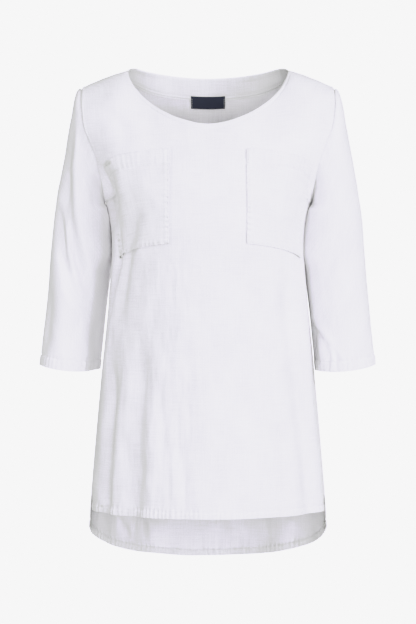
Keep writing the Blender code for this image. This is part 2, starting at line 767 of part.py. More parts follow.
# ---------------------------------------------------------------- assembly
def clear_scene():
    for old in list(bpy.data.objects):
        bpy.data.objects.remove(old, do_unlink=True)


def main():
    clear_scene()
    collection = bpy.data.collections.new(OBJECT_NAME)
    bpy.context.scene.collection.children.link(collection)
    linen = new_material(*LINEN)
    label_cloth = new_material(*LABEL_CLOTH)
    front, back = make_panels(collection, linen)
    make_pockets(collection, linen, front)
    make_neck_pieces(collection, linen, label_cloth, back)
    make_sleeve(collection, linen, "sleeve_left", 1.0, LEFT_SLEEVE_FOLDS, front, back)
    make_sleeve(collection, linen, "sleeve_right", -1.0, RIGHT_SLEEVE_FOLDS, front, back)


main()
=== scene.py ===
"""Linen tunic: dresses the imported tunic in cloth, sewing and soft studio light.

Forms are worked out in millimetres and meshed in metres. The origin is midway between the shoulders at the
height of the neck points. +Z is up, the front faces -Y and +X runs towards the wearer's left.
Left and right in names are the wearer's.
"""

import math
from collections import namedtuple
from functools import lru_cache

import bmesh
import bpy
import numpy as np
from mathutils import Matrix, Vector


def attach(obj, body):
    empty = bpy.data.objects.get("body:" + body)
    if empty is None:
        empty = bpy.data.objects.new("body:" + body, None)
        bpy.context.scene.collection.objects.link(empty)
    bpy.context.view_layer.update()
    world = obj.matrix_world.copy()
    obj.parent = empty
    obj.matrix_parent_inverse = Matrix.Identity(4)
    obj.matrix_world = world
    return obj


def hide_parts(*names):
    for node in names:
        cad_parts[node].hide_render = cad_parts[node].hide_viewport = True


bl_info = {
    "name": "Linen Tunic",
    "version": (1, 0, 0),
    "blender": (4, 5, 0),
    "location": "3D View > Sidebar > Tunic",
    "description": "Cuts and sews a linen tunic on its packed form, and lights it for a catalogue picture",
    "category": "Object",
}

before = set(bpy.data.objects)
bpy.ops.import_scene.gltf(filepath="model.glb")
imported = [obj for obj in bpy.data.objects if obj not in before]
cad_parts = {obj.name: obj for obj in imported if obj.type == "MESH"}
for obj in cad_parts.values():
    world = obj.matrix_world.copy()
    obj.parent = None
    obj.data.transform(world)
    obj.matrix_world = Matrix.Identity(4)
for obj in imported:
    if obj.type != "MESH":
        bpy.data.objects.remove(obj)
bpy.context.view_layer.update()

MM = 0.001


def rows(kind, *table):
    return tuple(kind(*row) for row in table)


# ---- form of the cut, in mm
SEAM_GAP = 0.3
EDGE_ROW = 3.0  # from a sleeve's edge to where its own form begins
ARMHOLE_TUCK = 0.9  # the sleeve's edge lies this far under the edges of the panels
ARMHOLE_SINK = 3.6  # and this far in

UNDERARM_HEIGHT = -215.0
FRONT_HEM_HEIGHT = -705.0
BACK_HEM_SIDE_HEIGHT = -732.0
BACK_HEM_DROP = 69.0
BACK_HEM_ROUNDNESS = 2.2
VENT_TOP_HEIGHT = -665.0
VENT_GAPE = 5.0

NECK_HALF_WIDTH = 127.0
NECK_POINT_HEIGHT = -3.5
SHOULDER_HALF_WIDTH = 200.5
SHOULDER_TIP_HEIGHT = -31.5
SHOULDER_BULGE = 2.0
FRONT_NECK_DROP = 90.7
FRONT_NECK_REACH = 95.0
FRONT_NECK_ROUNDNESS = 1.7
FRONT_NECK_LEAN = 0.78
BACK_NECK_REACH = 75.0
BACK_NECK_ROUNDNESS = 1.85
BACK_NECK_DROP = 7.0
BACK_NECK_RIDGE = 8.0
NECK_SHARE = 0.64  # how far across a panel its top edge leaves the neck for the shoulder
NECK_TURN_START = 0.45
CORNER_SHARE, CORNER_SPREAD = 0.62, 0.12  # where the cloth leans in most towards the neck
CORNER_LEAN = 0.5
SPAN_SHARE, SPAN_SPREAD = 0.64, 0.22  # where it stands out most between chest and shoulder
SIDE_START = 0.50
MISS_START = 0.35
SLOPE_STEP = 8.0
RISE_PULL = 150.0
NEAR = 0.004  # step in across and rise that directions are measured over

# Horizontal sections of the body: half its width, its depth before and behind the side seams, its roundness.
Section = namedtuple("Section", "height half_width front_depth back_depth roundness")
SECTIONS = rows(
    Section,
    (-800, 192.5, 136, 137, 1.85),
    (-738, 191.0, 136, 136, 1.85),
    (-690, 188.0, 136, 134, 1.85),
    (-578, 178.8, 135, 128, 1.95),
    (-482, 169.8, 134, 121, 2.00),
    (-370, 158.5, 135, 116, 2.10),
    (-290, 153.0, 138, 116, 2.15),
    (-250, 155.5, 140, 119, 2.20),
    (-215, 163.0, 139, 122, 2.25),
    (-180, 169.0, 134, 122, 2.25),
)
HEIGHTS = [section.height for section in SECTIONS]

# The armhole seam: heights, and how far out it runs at each.
FRONT_ARMHOLE = (
    (-215, -205, -180, -149, -126, -100, -64, -31.5),
    (163.0, 164.5, 168.5, 175.5, 184.0, 194.5, 200.0, 200.5),
)
BACK_ARMHOLE = (
    (-215, -205, -180, -149, -100, -64, -31.5),
    (163.0, 164.5, 169.5, 178.0, 192.0, 198.5, 200.5),
)

# Folds of the body cloth. Across runs from -1 to 1 between the side seams. A trough has a positive depth.
Fold = namedtuple("Fold", "across_top top across_bottom bottom bow width depth")
FRONT_FOLDS = rows(
    Fold,
    (-0.680, -235, -0.960, -490, 0, 9, 14),
    (-0.610, -245, -0.890, -500, 0, 13, -4.5),
    (-0.725, -440, -0.735, -800, -0.008, 12, 14),
    (-0.640, -500, -0.630, -800, 0, 12, -5),
    (-0.465, -400, -0.505, -800, 0.012, 12, 11),
    (-0.395, -470, -0.410, -800, 0, 13, -3.5),
    (-0.605, -590, -0.615, -800, 0, 6, 2.5),
    (-0.315, -330, -0.280, -640, 0.010, 16, 2),
    (-0.135, -380, -0.130, -800, 0, 12, 2.4),
    (0.585, -285, 0.775, -800, -0.012, 14, 8),
    (0.700, -330, 0.860, -800, 0, 15, -5),
    (0.330, -540, 0.360, -800, 0, 18, 1.5),
)
BACK_FOLDS = rows(
    Fold,
    (-0.50, -330, -0.56, -900, 0.020, 15, 6),
    (-0.33, -420, -0.36, -900, 0, 16, -4),
    (-0.10, -260, -0.14, -900, 0.015, 18, 4.5),
    (0.22, -480, 0.20, -900, 0, 16, -3.5),
    (0.44, -300, 0.52, -900, -0.020, 14, 6.5),
    (0.68, -380, 0.74, -900, 0, 15, -4),
    (-0.74, -450, -0.78, -900, 0, 13, 4),
)
FOLD_FADE = 90.0
FOLD_SIDE_FADE = 0.10
PANEL_REACH = 245.0

# Creases, each drawn on its own as seen from the front or the back: x and z of its points in turn. It pushes the
# cloth in by its depth over its width, and raises a soft ridge of ridge times that on its left as it runs, or
# right if negative.
Crease = namedtuple("Crease", "line width depth ridge")
FRONT_CREASES = rows(
    Crease,
    ((-103, -212, -112, -245, -121, -280, -128, -315, -133, -350, -139, -410), 7.5, 7, 0.4),
    ((-163, -72, -140, -92, -116, -122), 8, 2.6, 0.3),
    ((172, -92, 150, -112, 126, -140), 9, 3, -0.3),
    ((-161, -158, -157, -190, -153, -225, -150, -265), 10, 17, 0.2),
    ((150, -145, 158, -180, 163, -212), 4, 4.5, 0.5),
    ((160, -148, 164, -180, 166, -208), 3.5, 3.5, 0.5),
    ((140, -178, 150, -192, 160, -206), 4, 3, -0.5),
    ((-166, -162, -157, -156, -149, -152), 2.4, 3, 0.3),
    ((-96, -305, -103, -345, -116, -392), 7, 1.2, 0.4),
    ((-82, -470, -70, -545, -66, -620, -62, -700), 6, 2, 0.4),
    ((-52, -520, -44, -590, -36, -650, -37, -705), 6, 1.8, 0.4),
    ((-140, -560, -128, -600, -126, -650), 5, 2.2, 0.5),
    ((-96, -590, -104, -640, -100, -690), 5, 1.8, 0.5),
    ((-120, -395, -118, -450, -124, -500), 8, 1, 0.3),
    ((45, -600, 48, -650, 46, -700), 7, 1.3, 0.4),
    ((112, -560, 120, -620, 124, -690), 8, 2.4, 0.4),
    ((128, -300, 133, -380, 140, -460), 8, 2.2, 0.4),
    ((-20, -130, -28, -170, -24, -230), 10, 0.7, 0.3),
    ((30, -300, 22, -360, 28, -430), 11, 0.8, 0.3),
)
BACK_CREASES = rows(
    Crease,
    ((-170, -95, -140, -130, -105, -150), 9, 1.8, 0.4),
    ((172, -100, 146, -128, 118, -142), 9, 1.6, -0.4),
    ((-60, -120, -20, -133, 30, -128), 10, 1, 0.3),
    ((20, -560, 26, -640, 22, -740), 8, 1.4, 0.4),
    ((-130, -600, -136, -660, -133, -730), 7, 1.8, 0.5),
    ((-151, -722, -143, -745, -132, -768), 4, 3.6, 0.5),
    ((-109, -728, -105, -755, -101, -782), 4, 2.8, 0.4),
    ((120, -470, 128, -560, 126, -660), 8, 1.5, -0.4),
)

# Spacing: how far apart a panel's lines of points lie below and above the underarm, and where they lie closer.
Panel = namedtuple(
    "Panel",
    "facing depth_column armhole armhole_depth top_pull neck_lean shoulder_lean span folds creases spacing seed",
)
FRONT = Panel(
    -1, "front_depth", FRONT_ARMHOLE, 58.0, 118.0, (0.50, 0.87), (0.985, 0.17), 7.0, FRONT_FOLDS, FRONT_CREASES,
    (7.5, 5.0, ((-322, -278, 2.6), (-170, -132, 2.6))), 11,
)
BACK = Panel(
    1, "back_depth", BACK_ARMHOLE, 62.0, 105.0, (0.42, 0.91), (0.985, -0.17), 10.0, BACK_FOLDS, BACK_CREASES,
    (6.0, 4.6, ()), 41,
)
PANEL_COLUMNS = 256
UPPER_END = -40.0  # where the upper spacing is reckoned to

# Sections of a sleeve, from the upper arm to the cuff.
Round = namedtuple("Round", "height outer inner middle half_depth tilt sag")
SLEEVE_ROUNDS = rows(
    Round,
    (-234, 242.8, 156.0, 0, 61.0, 13.0, 0.0),
    (-300, 250.0, 153.0, -1, 55.5, 5.0, 0.0),
    (-390, 257.6, 162.0, -4, 51.0, 4.5, 1.0),
    (-477, 266.8, 171.0, -8, 48.0, 5.0, 4.0),
)
SLEEVE_GAP = 0.13  # how far a sleeve's inner side stands off the body, as a share of how far behind it hangs
SLEEVE_RADIUS = 50.0
SLEEVE_GIRTH = 330.0
SLEEVE_PULL_TOP = 36.0
SLEEVE_PULL_UNDERARM = 16.0
UNDERARM_TURN = 0.9
SLEEVE_REST = 1.5  # between the body and the lower part of a sleeve that hangs beside it
APART_HEIGHT = -285.0  # they touch above it
CLOSE_HEIGHT = -325.0
ARMPIT_PULL = 7.0
HEAD_RISE = 2.2
SLEEVE_COLUMNS, SLEEVE_ROWS = 160, 128
SLEEVE_STEPS = 41  # points of a path between two sections

# Folds of a sleeve. Angles are in degrees round it: 0 is its outer side, 90 its front, 180 its inner side.
SleeveFold = namedtuple("SleeveFold", "angle_top top angle_bottom bottom width depth")
# Swing: how far its inner side hangs back, and its outer side forward. Behind: how much further back its inner
# side hangs, behind the side of the body.
Sleeve = namedtuple("Sleeve", "side swing behind seed folds creases")
LEFT_SLEEVE = Sleeve(
    1.0, 2.0, 6.0, 71,
    rows(
        SleeveFold,
        (100, -240, 130, -390, 14, 3),
        (60, -120, 66, -330, 18, 2),
        (255, -230, 220, -370, 14, 4.5),
    ),
    rows(
        Crease,
        ((187, -442, 190, -460, 189, -484), 3.2, 7, 0.6),
        ((168, -412, 180, -432, 190, -450), 4, 6, 0.5),
        ((163, -400, 166, -430, 171, -478), 5, 7, 0.3),
        ((198, -446, 203, -462, 202, -482), 3.2, 3.5, 0.5),
        ((207, -75, 214, -110, 219, -145), 10, 1.3, -0.3),
        ((196, -330, 206, -360, 214, -400), 7, 1, 0.3),
        ((236, -250, 241, -300, 244, -350), 8, 0.9, 0.3),
    ),
)
RIGHT_SLEEVE = Sleeve(
    -1.0, 18.0, 24.0, 91,
    rows(
        SleeveFold,
        (62, -150, 108, -380, 12, 6),
        (36, -190, 112, -400, 11, 6),
        (52, -180, 92, -340, 10, -3.5),
        (36, -50, 40, -300, 14, 9),
        (80, -60, 84, -210, 9, 4),
        (26, -330, 24, -480, 10, 4),
        (128, -205, 128, -640, 20, 5),
        (250, -250, 215, -360, 14, 4),
    ),
    rows(
        Crease,
        ((-220, -160, -217, -238, -208, -292, -197, -335, -190, -372), 5.6, 10.5, 0.4),
        ((-236, -215, -229, -297, -215, -348, -203, -370, -186, -384), 5.6, 9.5, 0.4),
        ((-200, -72, -197, -105, -193, -138, -189, -172), 6, 3.2, 0.3),
        ((-222, -110, -226, -160, -222, -215), 8, 2.6, 0.3),
        ((-252, -350, -247, -395, -251, -455), 6, 2.6, -0.4),
        ((-196, -385, -214, -425, -222, -455), 6, 2.2, 0.4),
        ((-176, -400, -181, -430, -179, -468), 5, 2.2, 0.4),
    ),
)

# ---- where the pockets lie
POCKET_BOTTOM = (-278.0, -320.0)  # heights at the middle of the front and at its side seam
POCKET_TOP = (-132.5, -168.0)
DROOP_POWER = 2.2
POCKET_STATIONS = (0.0, 0.40, 1.0)
POCKET_INNER = (0.262, 0.252, 0.229)
POCKET_OUTER = (0.790, 0.745, 0.875)
POCKET_WIDTH, POCKET_HEIGHT = 120.0, 146.0
POCKET_LIFT = 1.5
POCKET_GAPE = 1.6  # the mouth stands a little open between its corners
POCKET_TURN = 0.46
POCKET_SPANS = 78
SEWN_WALL = 0.42  # pockets and facing lie pressed flat
LABEL_WALL = 0.22

# ---- sewing, in mm
# A sewn edge: how far in its stitches lie, how proud its doubled cloth stands, and the ripples that the thread
# draws: how far past it they reach, how far apart they lie and how strong they are.
Edge = namedtuple("Edge", "stitch proud reach pitch ripple")
HEM = Edge(10.0, 0.45, 7.0, 7.2, 5.0)
CUFF = Edge(16.0, 0.45, 9.0, 8.2, 3.2)
NECK = Edge(8.5, 0.50, 6.0, 6.8, 0.35)
VENT = Edge(8.0, 0.40, 6.0, 7.0, 0.6)
ARMHOLE = Edge(4.0, 0.0, 14.0, 9.0, 1.6)
SLEEVE_HEAD = Edge(4.0, 0.0, 18.0, 10.0, 1.6)
POCKET_SIDE = Edge(2.2, 0.42, 11.0, 9.0, 2.8)
POCKET_BASE = Edge(2.2, 0.42, 11.0, 9.4, 2.2)
POCKET_MOUTH = Edge(20.0, 0.45, 8.0, 8.0, 1.6)
FACING_EDGE = Edge(2.0, 0.35, 6.0, 7.0, 0.4)

ALLOWANCE = 9.0  # cloth turned in at a seam
HEM_PAST_STITCH, CUFF_PAST_STITCH = 1.2, 1.5  # cloth of a hem or cuff that lies past its stitches
POCKET_HEM = 22.0
POCKET_ALLOWANCE = 8.0
FACING_DEPTH = 38.0
FACING_ALLOWANCE = 6.0
FACING_END_SHARE = 0.84
FACING_FACE = -2.05  # of its visible face, inside the back's outer face
LABEL_FACE = -2.95
LABEL_WIDTH = 56.4
LABEL_SHARE = 0.115
LABEL_TOP_DEPTH, LABEL_BOTTOM_DEPTH = 30.0, 50.5
LABEL_ALLOWANCE = 5.0
LABEL_TURN = 0.24
FACING_COLUMNS, FACING_SPANS = 241, 12
FACING_SEED, LABEL_SEED = 181, 201
LABEL_ROWS, LABEL_SPANS = 19, 36
TURN_RADIUS = 0.7  # of the fold at an edge where cloth is turned in
SIDE_SPAN = 240.0  # cloth from the middle of a panel to its side, for insets from the side seams
STITCH_LIFT, STITCH_HALF_WIDTH, STITCH_FLATNESS = 0.06, 0.28, 0.8

# How far stitches sink, and the steps where doubled cloth ends.
HEM_GROOVE, HEM_STEP = 0.75, 0.60
CUFF_STEP = 0.5
POCKET_GROOVE = 0.65
MOUTH_GROOVE, MOUTH_GROOVE_MORE = 1.40, 0.30  # more on the left pocket, less on the right
FACING_GROOVE, FACING_STEP = 1.35, 0.5
ARMHOLE_DIP = 1.6
EDGE_DRAW = 0.30  # how far a pocket's edges are drawn down on to the front
PRINT_GROOVE, PRINT_AT_MOUTH, PRINT_FLAT = 0.85, 0.5, 0.5  # what a pocket presses into the front

# How far small wrinkles and bends stand out.
HANGING_WRINKLE = 1.6
POCKET_WRINKLE, MOUTH_WRINKLE = 0.7, 0.55
FACING_WRINKLE, LABEL_WRINKLE = 0.22, 0.16
LABEL_BOW, LABEL_SEWN = 0.35, 0.2

# Heights of a sheet's lines of points above a hem or in from an edge: close together where the sewing is.
HEM_LINES = (1.6, 2.8, 4.0, 5.4, 6.8, 8.2, 9.2, 10.0, 10.8, 12.0, 14.0, 17.0, 21.0)
CUFF_LINES = (1.6, 3.0, 4.6, 6.4, 8.4, 10.6, 12.8, 14.6, 15.6, 16.4, 17.6, 19.6, 22.5)
NECK_LINES = (1.4, 2.4, 3.6, 5.0, 6.4, 7.6, 8.5, 9.4, 10.6, 13.0, 17.0, 22.0)
SIDE_LINES = (1.6, 3.0, 4.8, 6.6, 8.0, 9.4, 11.2, 13.4)
HEAD_LINES = (1.4, 2.4, 3.8, 5.6, 8.0, 11.0)
POCKET_LINES = (1.2, 2.2, 3.2, 4.6, 6.4, 7.4, 8.4, 9.6, 12.0)
MOUTH_LINES = (1.2, 3.0, 6.0, 10.0, 14.0, 18.0, 20.4, 21.4, 22.4, 23.6, 26.0)
FACING_LINES = (1.2, 2.0, 3.0, 4.4, 5.6, 6.6, 7.8, 10.0)
FACING_NECK_LINES = ((0.6, 0.8), (1.0, 0.35), (1.6, 0.1), (2.4, 0.0))  # it curls up under the neck's edge
LABEL_LINES = (0.9, 1.5, 2.2, 3.2, 4.6)
TURNED = 5  # lines of an edge that lie past the middle of its fold
EDGE_START = TURNED + 3  # its lines before the first one given


# ---- small maths on arrays
def smooth(value):
    value = np.clip(value, 0.0, 1.0)
    return value * value * (3.0 - 2.0 * value)


def bell(offset):
    return np.exp(-0.5 * offset * offset)


def vector(*parts):
    return np.stack(parts, axis=-1)


def unit(vectors):
    return vectors / np.maximum(np.linalg.norm(vectors, axis=-1, keepdims=True), 1e-9)


def hermite(start, start_pull, end, end_pull, t):
    """Point of a cubic that leaves start along start_pull and reaches end along end_pull."""
    t2, t3 = t * t, t * t * t
    leave = start * (2 * t3 - 3 * t2 + 1) + start_pull * (t3 - 2 * t2 + t)
    return leave + end * (3 * t2 - 2 * t3) + end_pull * (t3 - t2)


def read_smooth(keys, values, key):
    """Values at each key, along a smooth curve through those given, which may differ for each key."""
    keys, values = np.asarray(keys, float), np.asarray(values, float)
    last = len(keys) - 1
    key = np.clip(key, keys[0], keys[last])
    step = np.clip(np.searchsorted(keys, key, side="right") - 1, 0, last - 1)
    low, high = np.maximum(np.arange(last + 1) - 1, 0), np.minimum(np.arange(last + 1) + 1, last)
    slopes = ((values[high] - values[low]).T / (keys[high] - keys[low])).T

    def pick(table, index):
        return table[index] if table.ndim == 1 else np.take_along_axis(table, index[None], 0)[0]

    span = keys[step + 1] - keys[step]
    start_pull, end_pull = pick(slopes, step) * span, pick(slopes, step + 1) * span
    return hermite(pick(values, step), start_pull, pick(values, step + 1), end_pull, (key - keys[step]) / span)


def running_length(points, axis):
    """How far each point lies along its line."""
    steps = np.linalg.norm(np.diff(points, axis=axis), axis=-1)
    return np.concatenate([np.zeros_like(steps.take([0], axis)), np.cumsum(steps, axis)], axis)


def along_line(run, line, stops):
    """What a line holds at each stop along its running length."""
    return np.stack([np.interp(stops, run, column) for column in line.T], axis=-1)


def wander(value, length, seed):
    """A smooth random line from -1 to 1 that turns over a length."""
    table = np.random.default_rng(seed).uniform(-1.0, 1.0, 1024)
    place = np.asarray(value) / length + 512.0
    step = np.floor(place).astype(int)
    t = smooth(place - step)
    return table[step % 1024] * (1.0 - t) + table[(step + 1) % 1024] * t


def crumple(points, lengths, seed):
    """Smooth random heights from -1 to 1 over points in space, which turn over the lengths given."""
    table = np.random.default_rng(seed).uniform(-1.0, 1.0, (64, 64, 64))
    place = points / np.array(lengths) + 32.0
    cell = np.floor(place).astype(int)
    part = smooth(place - cell)
    total = 0.0
    for corner in np.ndindex(2, 2, 2):
        weight = np.prod(np.where(corner, part, 1.0 - part), axis=-1)
        total = total + weight * table[tuple(((cell + corner) % 64).reshape(-1, 3).T)].reshape(weight.shape)
    return total


# ---- form of the body
QUARTER_TURN = np.linspace(0.0, math.pi / 2, 121)
SINE, COSINE = np.sin(QUARTER_TURN), np.clip(np.cos(QUARTER_TURN), 0.0, None)


def section_value(column, height):
    return read_smooth(HEIGHTS, [getattr(section, column) for section in SECTIONS], height)


@lru_cache(maxsize=None)
def section_curves(panel):
    """A quarter of each section, from the middle of the panel to its side, with its running length."""
    curves = []
    for section in SECTIONS:
        power = 2.0 / section.roundness
        y = getattr(section, panel.depth_column) * COSINE**power
        line = vector(section.half_width * SINE**power, y)
        curves.append((running_length(line, 0), line))
    return curves


def rounded(reach, roundness):
    """How far a rounded quarter still stands out, as a share, at a reach from its middle."""
    return (1.0 - np.minimum(1.0, reach) ** roundness) ** (1.0 / roundness)


def section_rows(panel, share, axis):
    return np.array([np.interp(share * run[-1], run, line[:, axis]) for run, line in section_curves(panel)])


def hem_height(panel, across):
    if panel is FRONT:
        return np.full_like(across, FRONT_HEM_HEIGHT)
    reach = section_rows(panel, np.abs(across), 0)[0] / SECTIONS[0].half_width
    return BACK_HEM_SIDE_HEIGHT - BACK_HEM_DROP * rounded(reach, BACK_HEM_ROUNDNESS)


def body_point(panel, across, height):
    share = np.abs(across)
    x, y = (read_smooth(HEIGHTS, section_rows(panel, share, axis), height) for axis in (0, 1))
    gape = VENT_GAPE * smooth((VENT_TOP_HEIGHT - height) / (VENT_TOP_HEIGHT - FRONT_HEM_HEIGHT)) * share**8
    if panel is FRONT:
        x = x - gape
    return vector(np.copysign(x, across), panel.facing * (y + 0.5 * gape), height + 0.0 * x)


@lru_cache(maxsize=None)
def neck_curve(panel):
    """Right half of a panel's neck edge, from its middle to the neck point, with its running length."""
    if panel is FRONT:
        power = 2.0 / FRONT_NECK_ROUNDNESS
        drop = COSINE**power
        y = -FRONT_NECK_REACH * drop**FRONT_NECK_LEAN
        z = NECK_POINT_HEIGHT - FRONT_NECK_DROP * drop
    else:
        power = 2.0 / BACK_NECK_ROUNDNESS
        reach = SINE**power
        y = BACK_NECK_REACH * COSINE**power
        z = NECK_POINT_HEIGHT - BACK_NECK_DROP * (1.0 - reach**2) + BACK_NECK_RIDGE * (reach**2 - reach**24)
    line = vector(NECK_HALF_WIDTH * SINE**power, y, z)
    return running_length(line, 0), line


def on_side(point, across):
    point[:, 0] = np.copysign(point[:, 0], across)
    return point


def top_point(panel, across):
    """Point of a panel's top edge: the neck in the middle, and a shoulder seam at each end."""
    share = np.abs(across)
    run, line = neck_curve(panel)
    neck = along_line(run, line, np.clip(share / NECK_SHARE, 0.0, 1.0) * run[-1])
    out = np.clip((share - NECK_SHARE) / (1.0 - NECK_SHARE), 0.0, 1.0)
    x = NECK_HALF_WIDTH + out * (SHOULDER_HALF_WIDTH - NECK_HALF_WIDTH)
    z = NECK_POINT_HEIGHT + out * (SHOULDER_TIP_HEIGHT - NECK_POINT_HEIGHT) + SHOULDER_BULGE * np.sin(math.pi * out)
    point = np.where((share <= NECK_SHARE)[:, None], neck, vector(x, 0.0 * x, z))
    return on_side(point, across)


TOP_SPREADS = (0.0, 0.008, 0.018, 0.03, 0.045, 0.065, 0.09, 0.12, 0.15)
TOP_SHARES = np.linspace(-0.5, 1.5, 801)
TOP_STEP = TOP_SHARES[1] - TOP_SHARES[0]
TOP_REACH = 160  # steps that a point is evened out over, to each side


@lru_cache(maxsize=None)
def even_tops(panel):
    """A panel's top edge, evened out over ever wider spans."""
    line = top_point(panel, np.where(TOP_SHARES > 1.0, 2.0 - TOP_SHARES, np.abs(TOP_SHARES)))
    line[:, 0] = np.where(TOP_SHARES < 0.0, -line[:, 0], line[:, 0])
    line = np.where((TOP_SHARES > 1.0)[:, None], 2.0 * top_point(panel, np.ones(1)) - line, line)
    padded = np.pad(line, ((TOP_REACH, TOP_REACH), (0, 0)), mode="edge")
    levels = [line]
    for top_spread in TOP_SPREADS[1:]:
        kernel = bell(np.arange(-TOP_REACH, TOP_REACH + 1) * TOP_STEP / top_spread)
        kernel = kernel / kernel.sum()
        levels.append(np.stack([np.convolve(column, kernel, mode="valid") for column in padded.T], axis=-1))
    return np.array(levels)


def top_below(panel, across, climb):
    """Where the top edge draws a column of cloth to: the lower on the panel, the less it feels the edge's corner."""
    levels = even_tops(panel)
    level = np.interp(np.minimum(TOP_SPREADS[-1], 0.45 * (1.0 - climb)), TOP_SPREADS, range(len(TOP_SPREADS)))
    place = (np.abs(across) - TOP_SHARES[0]) / TOP_STEP
    i, j = np.minimum(level.astype(int), len(TOP_SPREADS) - 2), place.astype(int)
    s, t = (level - i)[:, None], (place - j)[:, None]
    low, high = (levels[k, j] * (1.0 - t) + levels[k, j + 1] * t for k in (i, i + 1))
    return on_side(low * (1.0 - s) + high * s, across)


def armhole_point(panel, side, climb):
    half_turn = math.pi * climb
    height = UNDERARM_HEIGHT + (SHOULDER_TIP_HEIGHT - UNDERARM_HEIGHT) * 0.5 * (1.0 - np.cos(half_turn))
    reach = read_smooth(*panel.armhole, height)
    return vector(side * reach, panel.facing * panel.armhole_depth * np.sin(half_turn), height)


def beyond(share, start):
    return smooth((share - start) / (1.0 - start))


def upper_column(panel, across, climb):
    share = np.abs(across)
    start = body_point(panel, across, np.full_like(across, UNDERARM_HEIGHT))
    below = body_point(panel, across, np.full_like(across, UNDERARM_HEIGHT - SLOPE_STEP))
    forward = np.array([0.0, panel.facing * math.pi * panel.armhole_depth, 0.0])
    side_share = beyond(share, SIDE_START)[:, None]
    start_pull = unit(start - below) * RISE_PULL * (1.0 - side_share) + forward * side_share
    turn = beyond(share / NECK_SHARE, NECK_TURN_START)
    back, up = (n + (s - n) * turn for n, s in zip(panel.neck_lean, panel.shoulder_lean))
    inward = -np.copysign(CORNER_LEAN * bell((share - CORNER_SHARE) / CORNER_SPREAD), across)
    end_pull = vector(inward, -panel.facing * back, up) * panel.top_pull
    return hermite(start, start_pull, top_below(panel, across, climb), end_pull, climb[:, None])


def upper_point(panel, across, climb):
    side, share = np.copysign(1.0, across), np.abs(across)
    miss = armhole_point(panel, side, climb) - upper_column(panel, side, climb)
    point = upper_column(panel, across, climb)
    point += miss * beyond(share, MISS_START)[:, None]
    span = bell((share - SPAN_SHARE) / SPAN_SPREAD * math.sqrt(2.0)) * np.sin(math.pi * climb)
    point[:, 1] += panel.facing * panel.span * span
    return point


def form_point(panel, across, rise):
    """Points of a panel without folds. Rise is 0 at the hem, 1 at the underarm and 2 at the top edge."""
    across, rise = np.broadcast_arrays(np.asarray(across, float), np.asarray(rise, float))
    shape, across, rise = across.shape, across.ravel(), rise.ravel()
    hem = hem_height(panel, across)
    lower = body_point(panel, across, hem + (UNDERARM_HEIGHT - hem) * np.clip(rise, 0.0, 1.0))
    upper = upper_point(panel, across, np.clip(rise - 1.0, 0.0, 1.0))
    return np.where((rise <= 1.0)[:, None], lower, upper).reshape(shape + (3,))


def form_normal(panel, across, rise):
    """Outward directions of a panel."""
    weft = form_point(panel, np.minimum(across + NEAR, 1.0), rise)
    weft = weft - form_point(panel, np.maximum(across - NEAR, -1.0), rise)
    warp = form_point(panel, across, np.minimum(rise + NEAR, 2.0))
    warp = warp - form_point(panel, across, np.maximum(rise - NEAR, 0.0))
    return unit(np.cross(weft, warp)) * -panel.facing


def form(panel, across, rise):
    return form_point(panel, across, rise), form_normal(panel, across, rise)


def fold_depth(panel, across, height):
    """How far the folds push the cloth in."""
    total = 0.0 * across
    for fold in panel.folds:
        run = (fold.top - height) / (fold.top - fold.bottom)
        middle = fold.across_top + (fold.across_bottom - fold.across_top) * run
        middle = middle + fold.bow * np.sin(math.pi * np.clip(run, 0.0, 1.0))
        growth = smooth((fold.top - height) / FOLD_FADE) * smooth((height - fold.bottom) / FOLD_FADE)
        total += fold.depth * growth * bell((across - middle) * PANEL_REACH / fold.width)
    return total * smooth((1.0 - np.abs(across)) / FOLD_SIDE_FADE)


def front_rise(across, height):
    """Rise at which each column of the front reaches a height that pockets lie at, by halving."""
    low, high = np.full_like(across, 0.5), np.full_like(across, 1.9)
    for _ in range(20):
        middle = 0.5 * (low + high)
        reached = form_point(FRONT, across, middle)[..., 2] >= height
        high, low = np.where(reached, middle, high), np.where(reached, low, middle)
    return 0.5 * (low + high)


def neck_depths(panel, across):
    """Rises from the underarm to the top edge, and how far below the top edge each lies, for each column."""
    rises = np.linspace(1.0, 2.0, 121)
    run = running_length(form_point(panel, across[:, None], rises[None, :]), 1)
    return rises, run[:, -1:] - run


def rises_at_depths(panel, across, depth):
    """Rises at rows of depths below the top edge, for each column across."""
    rises, depths = neck_depths(panel, across)
    return np.stack([np.interp(-wanted, -row, rises) for row, wanted in zip(depths, (depth + 0.0 * across).T)], -1)


def pocket_ends(across):
    """Heights of a pocket's bottom and mouth."""
    droop = np.abs(across) ** DROOP_POWER
    return [low + (side - low) * droop for low, side in (POCKET_BOTTOM, POCKET_TOP)]


def pocket_sides(t):
    """Shares across of a pocket's inner and outer edges."""
    return [read_smooth(POCKET_STATIONS, edge, t) for edge in (POCKET_INNER, POCKET_OUTER)]


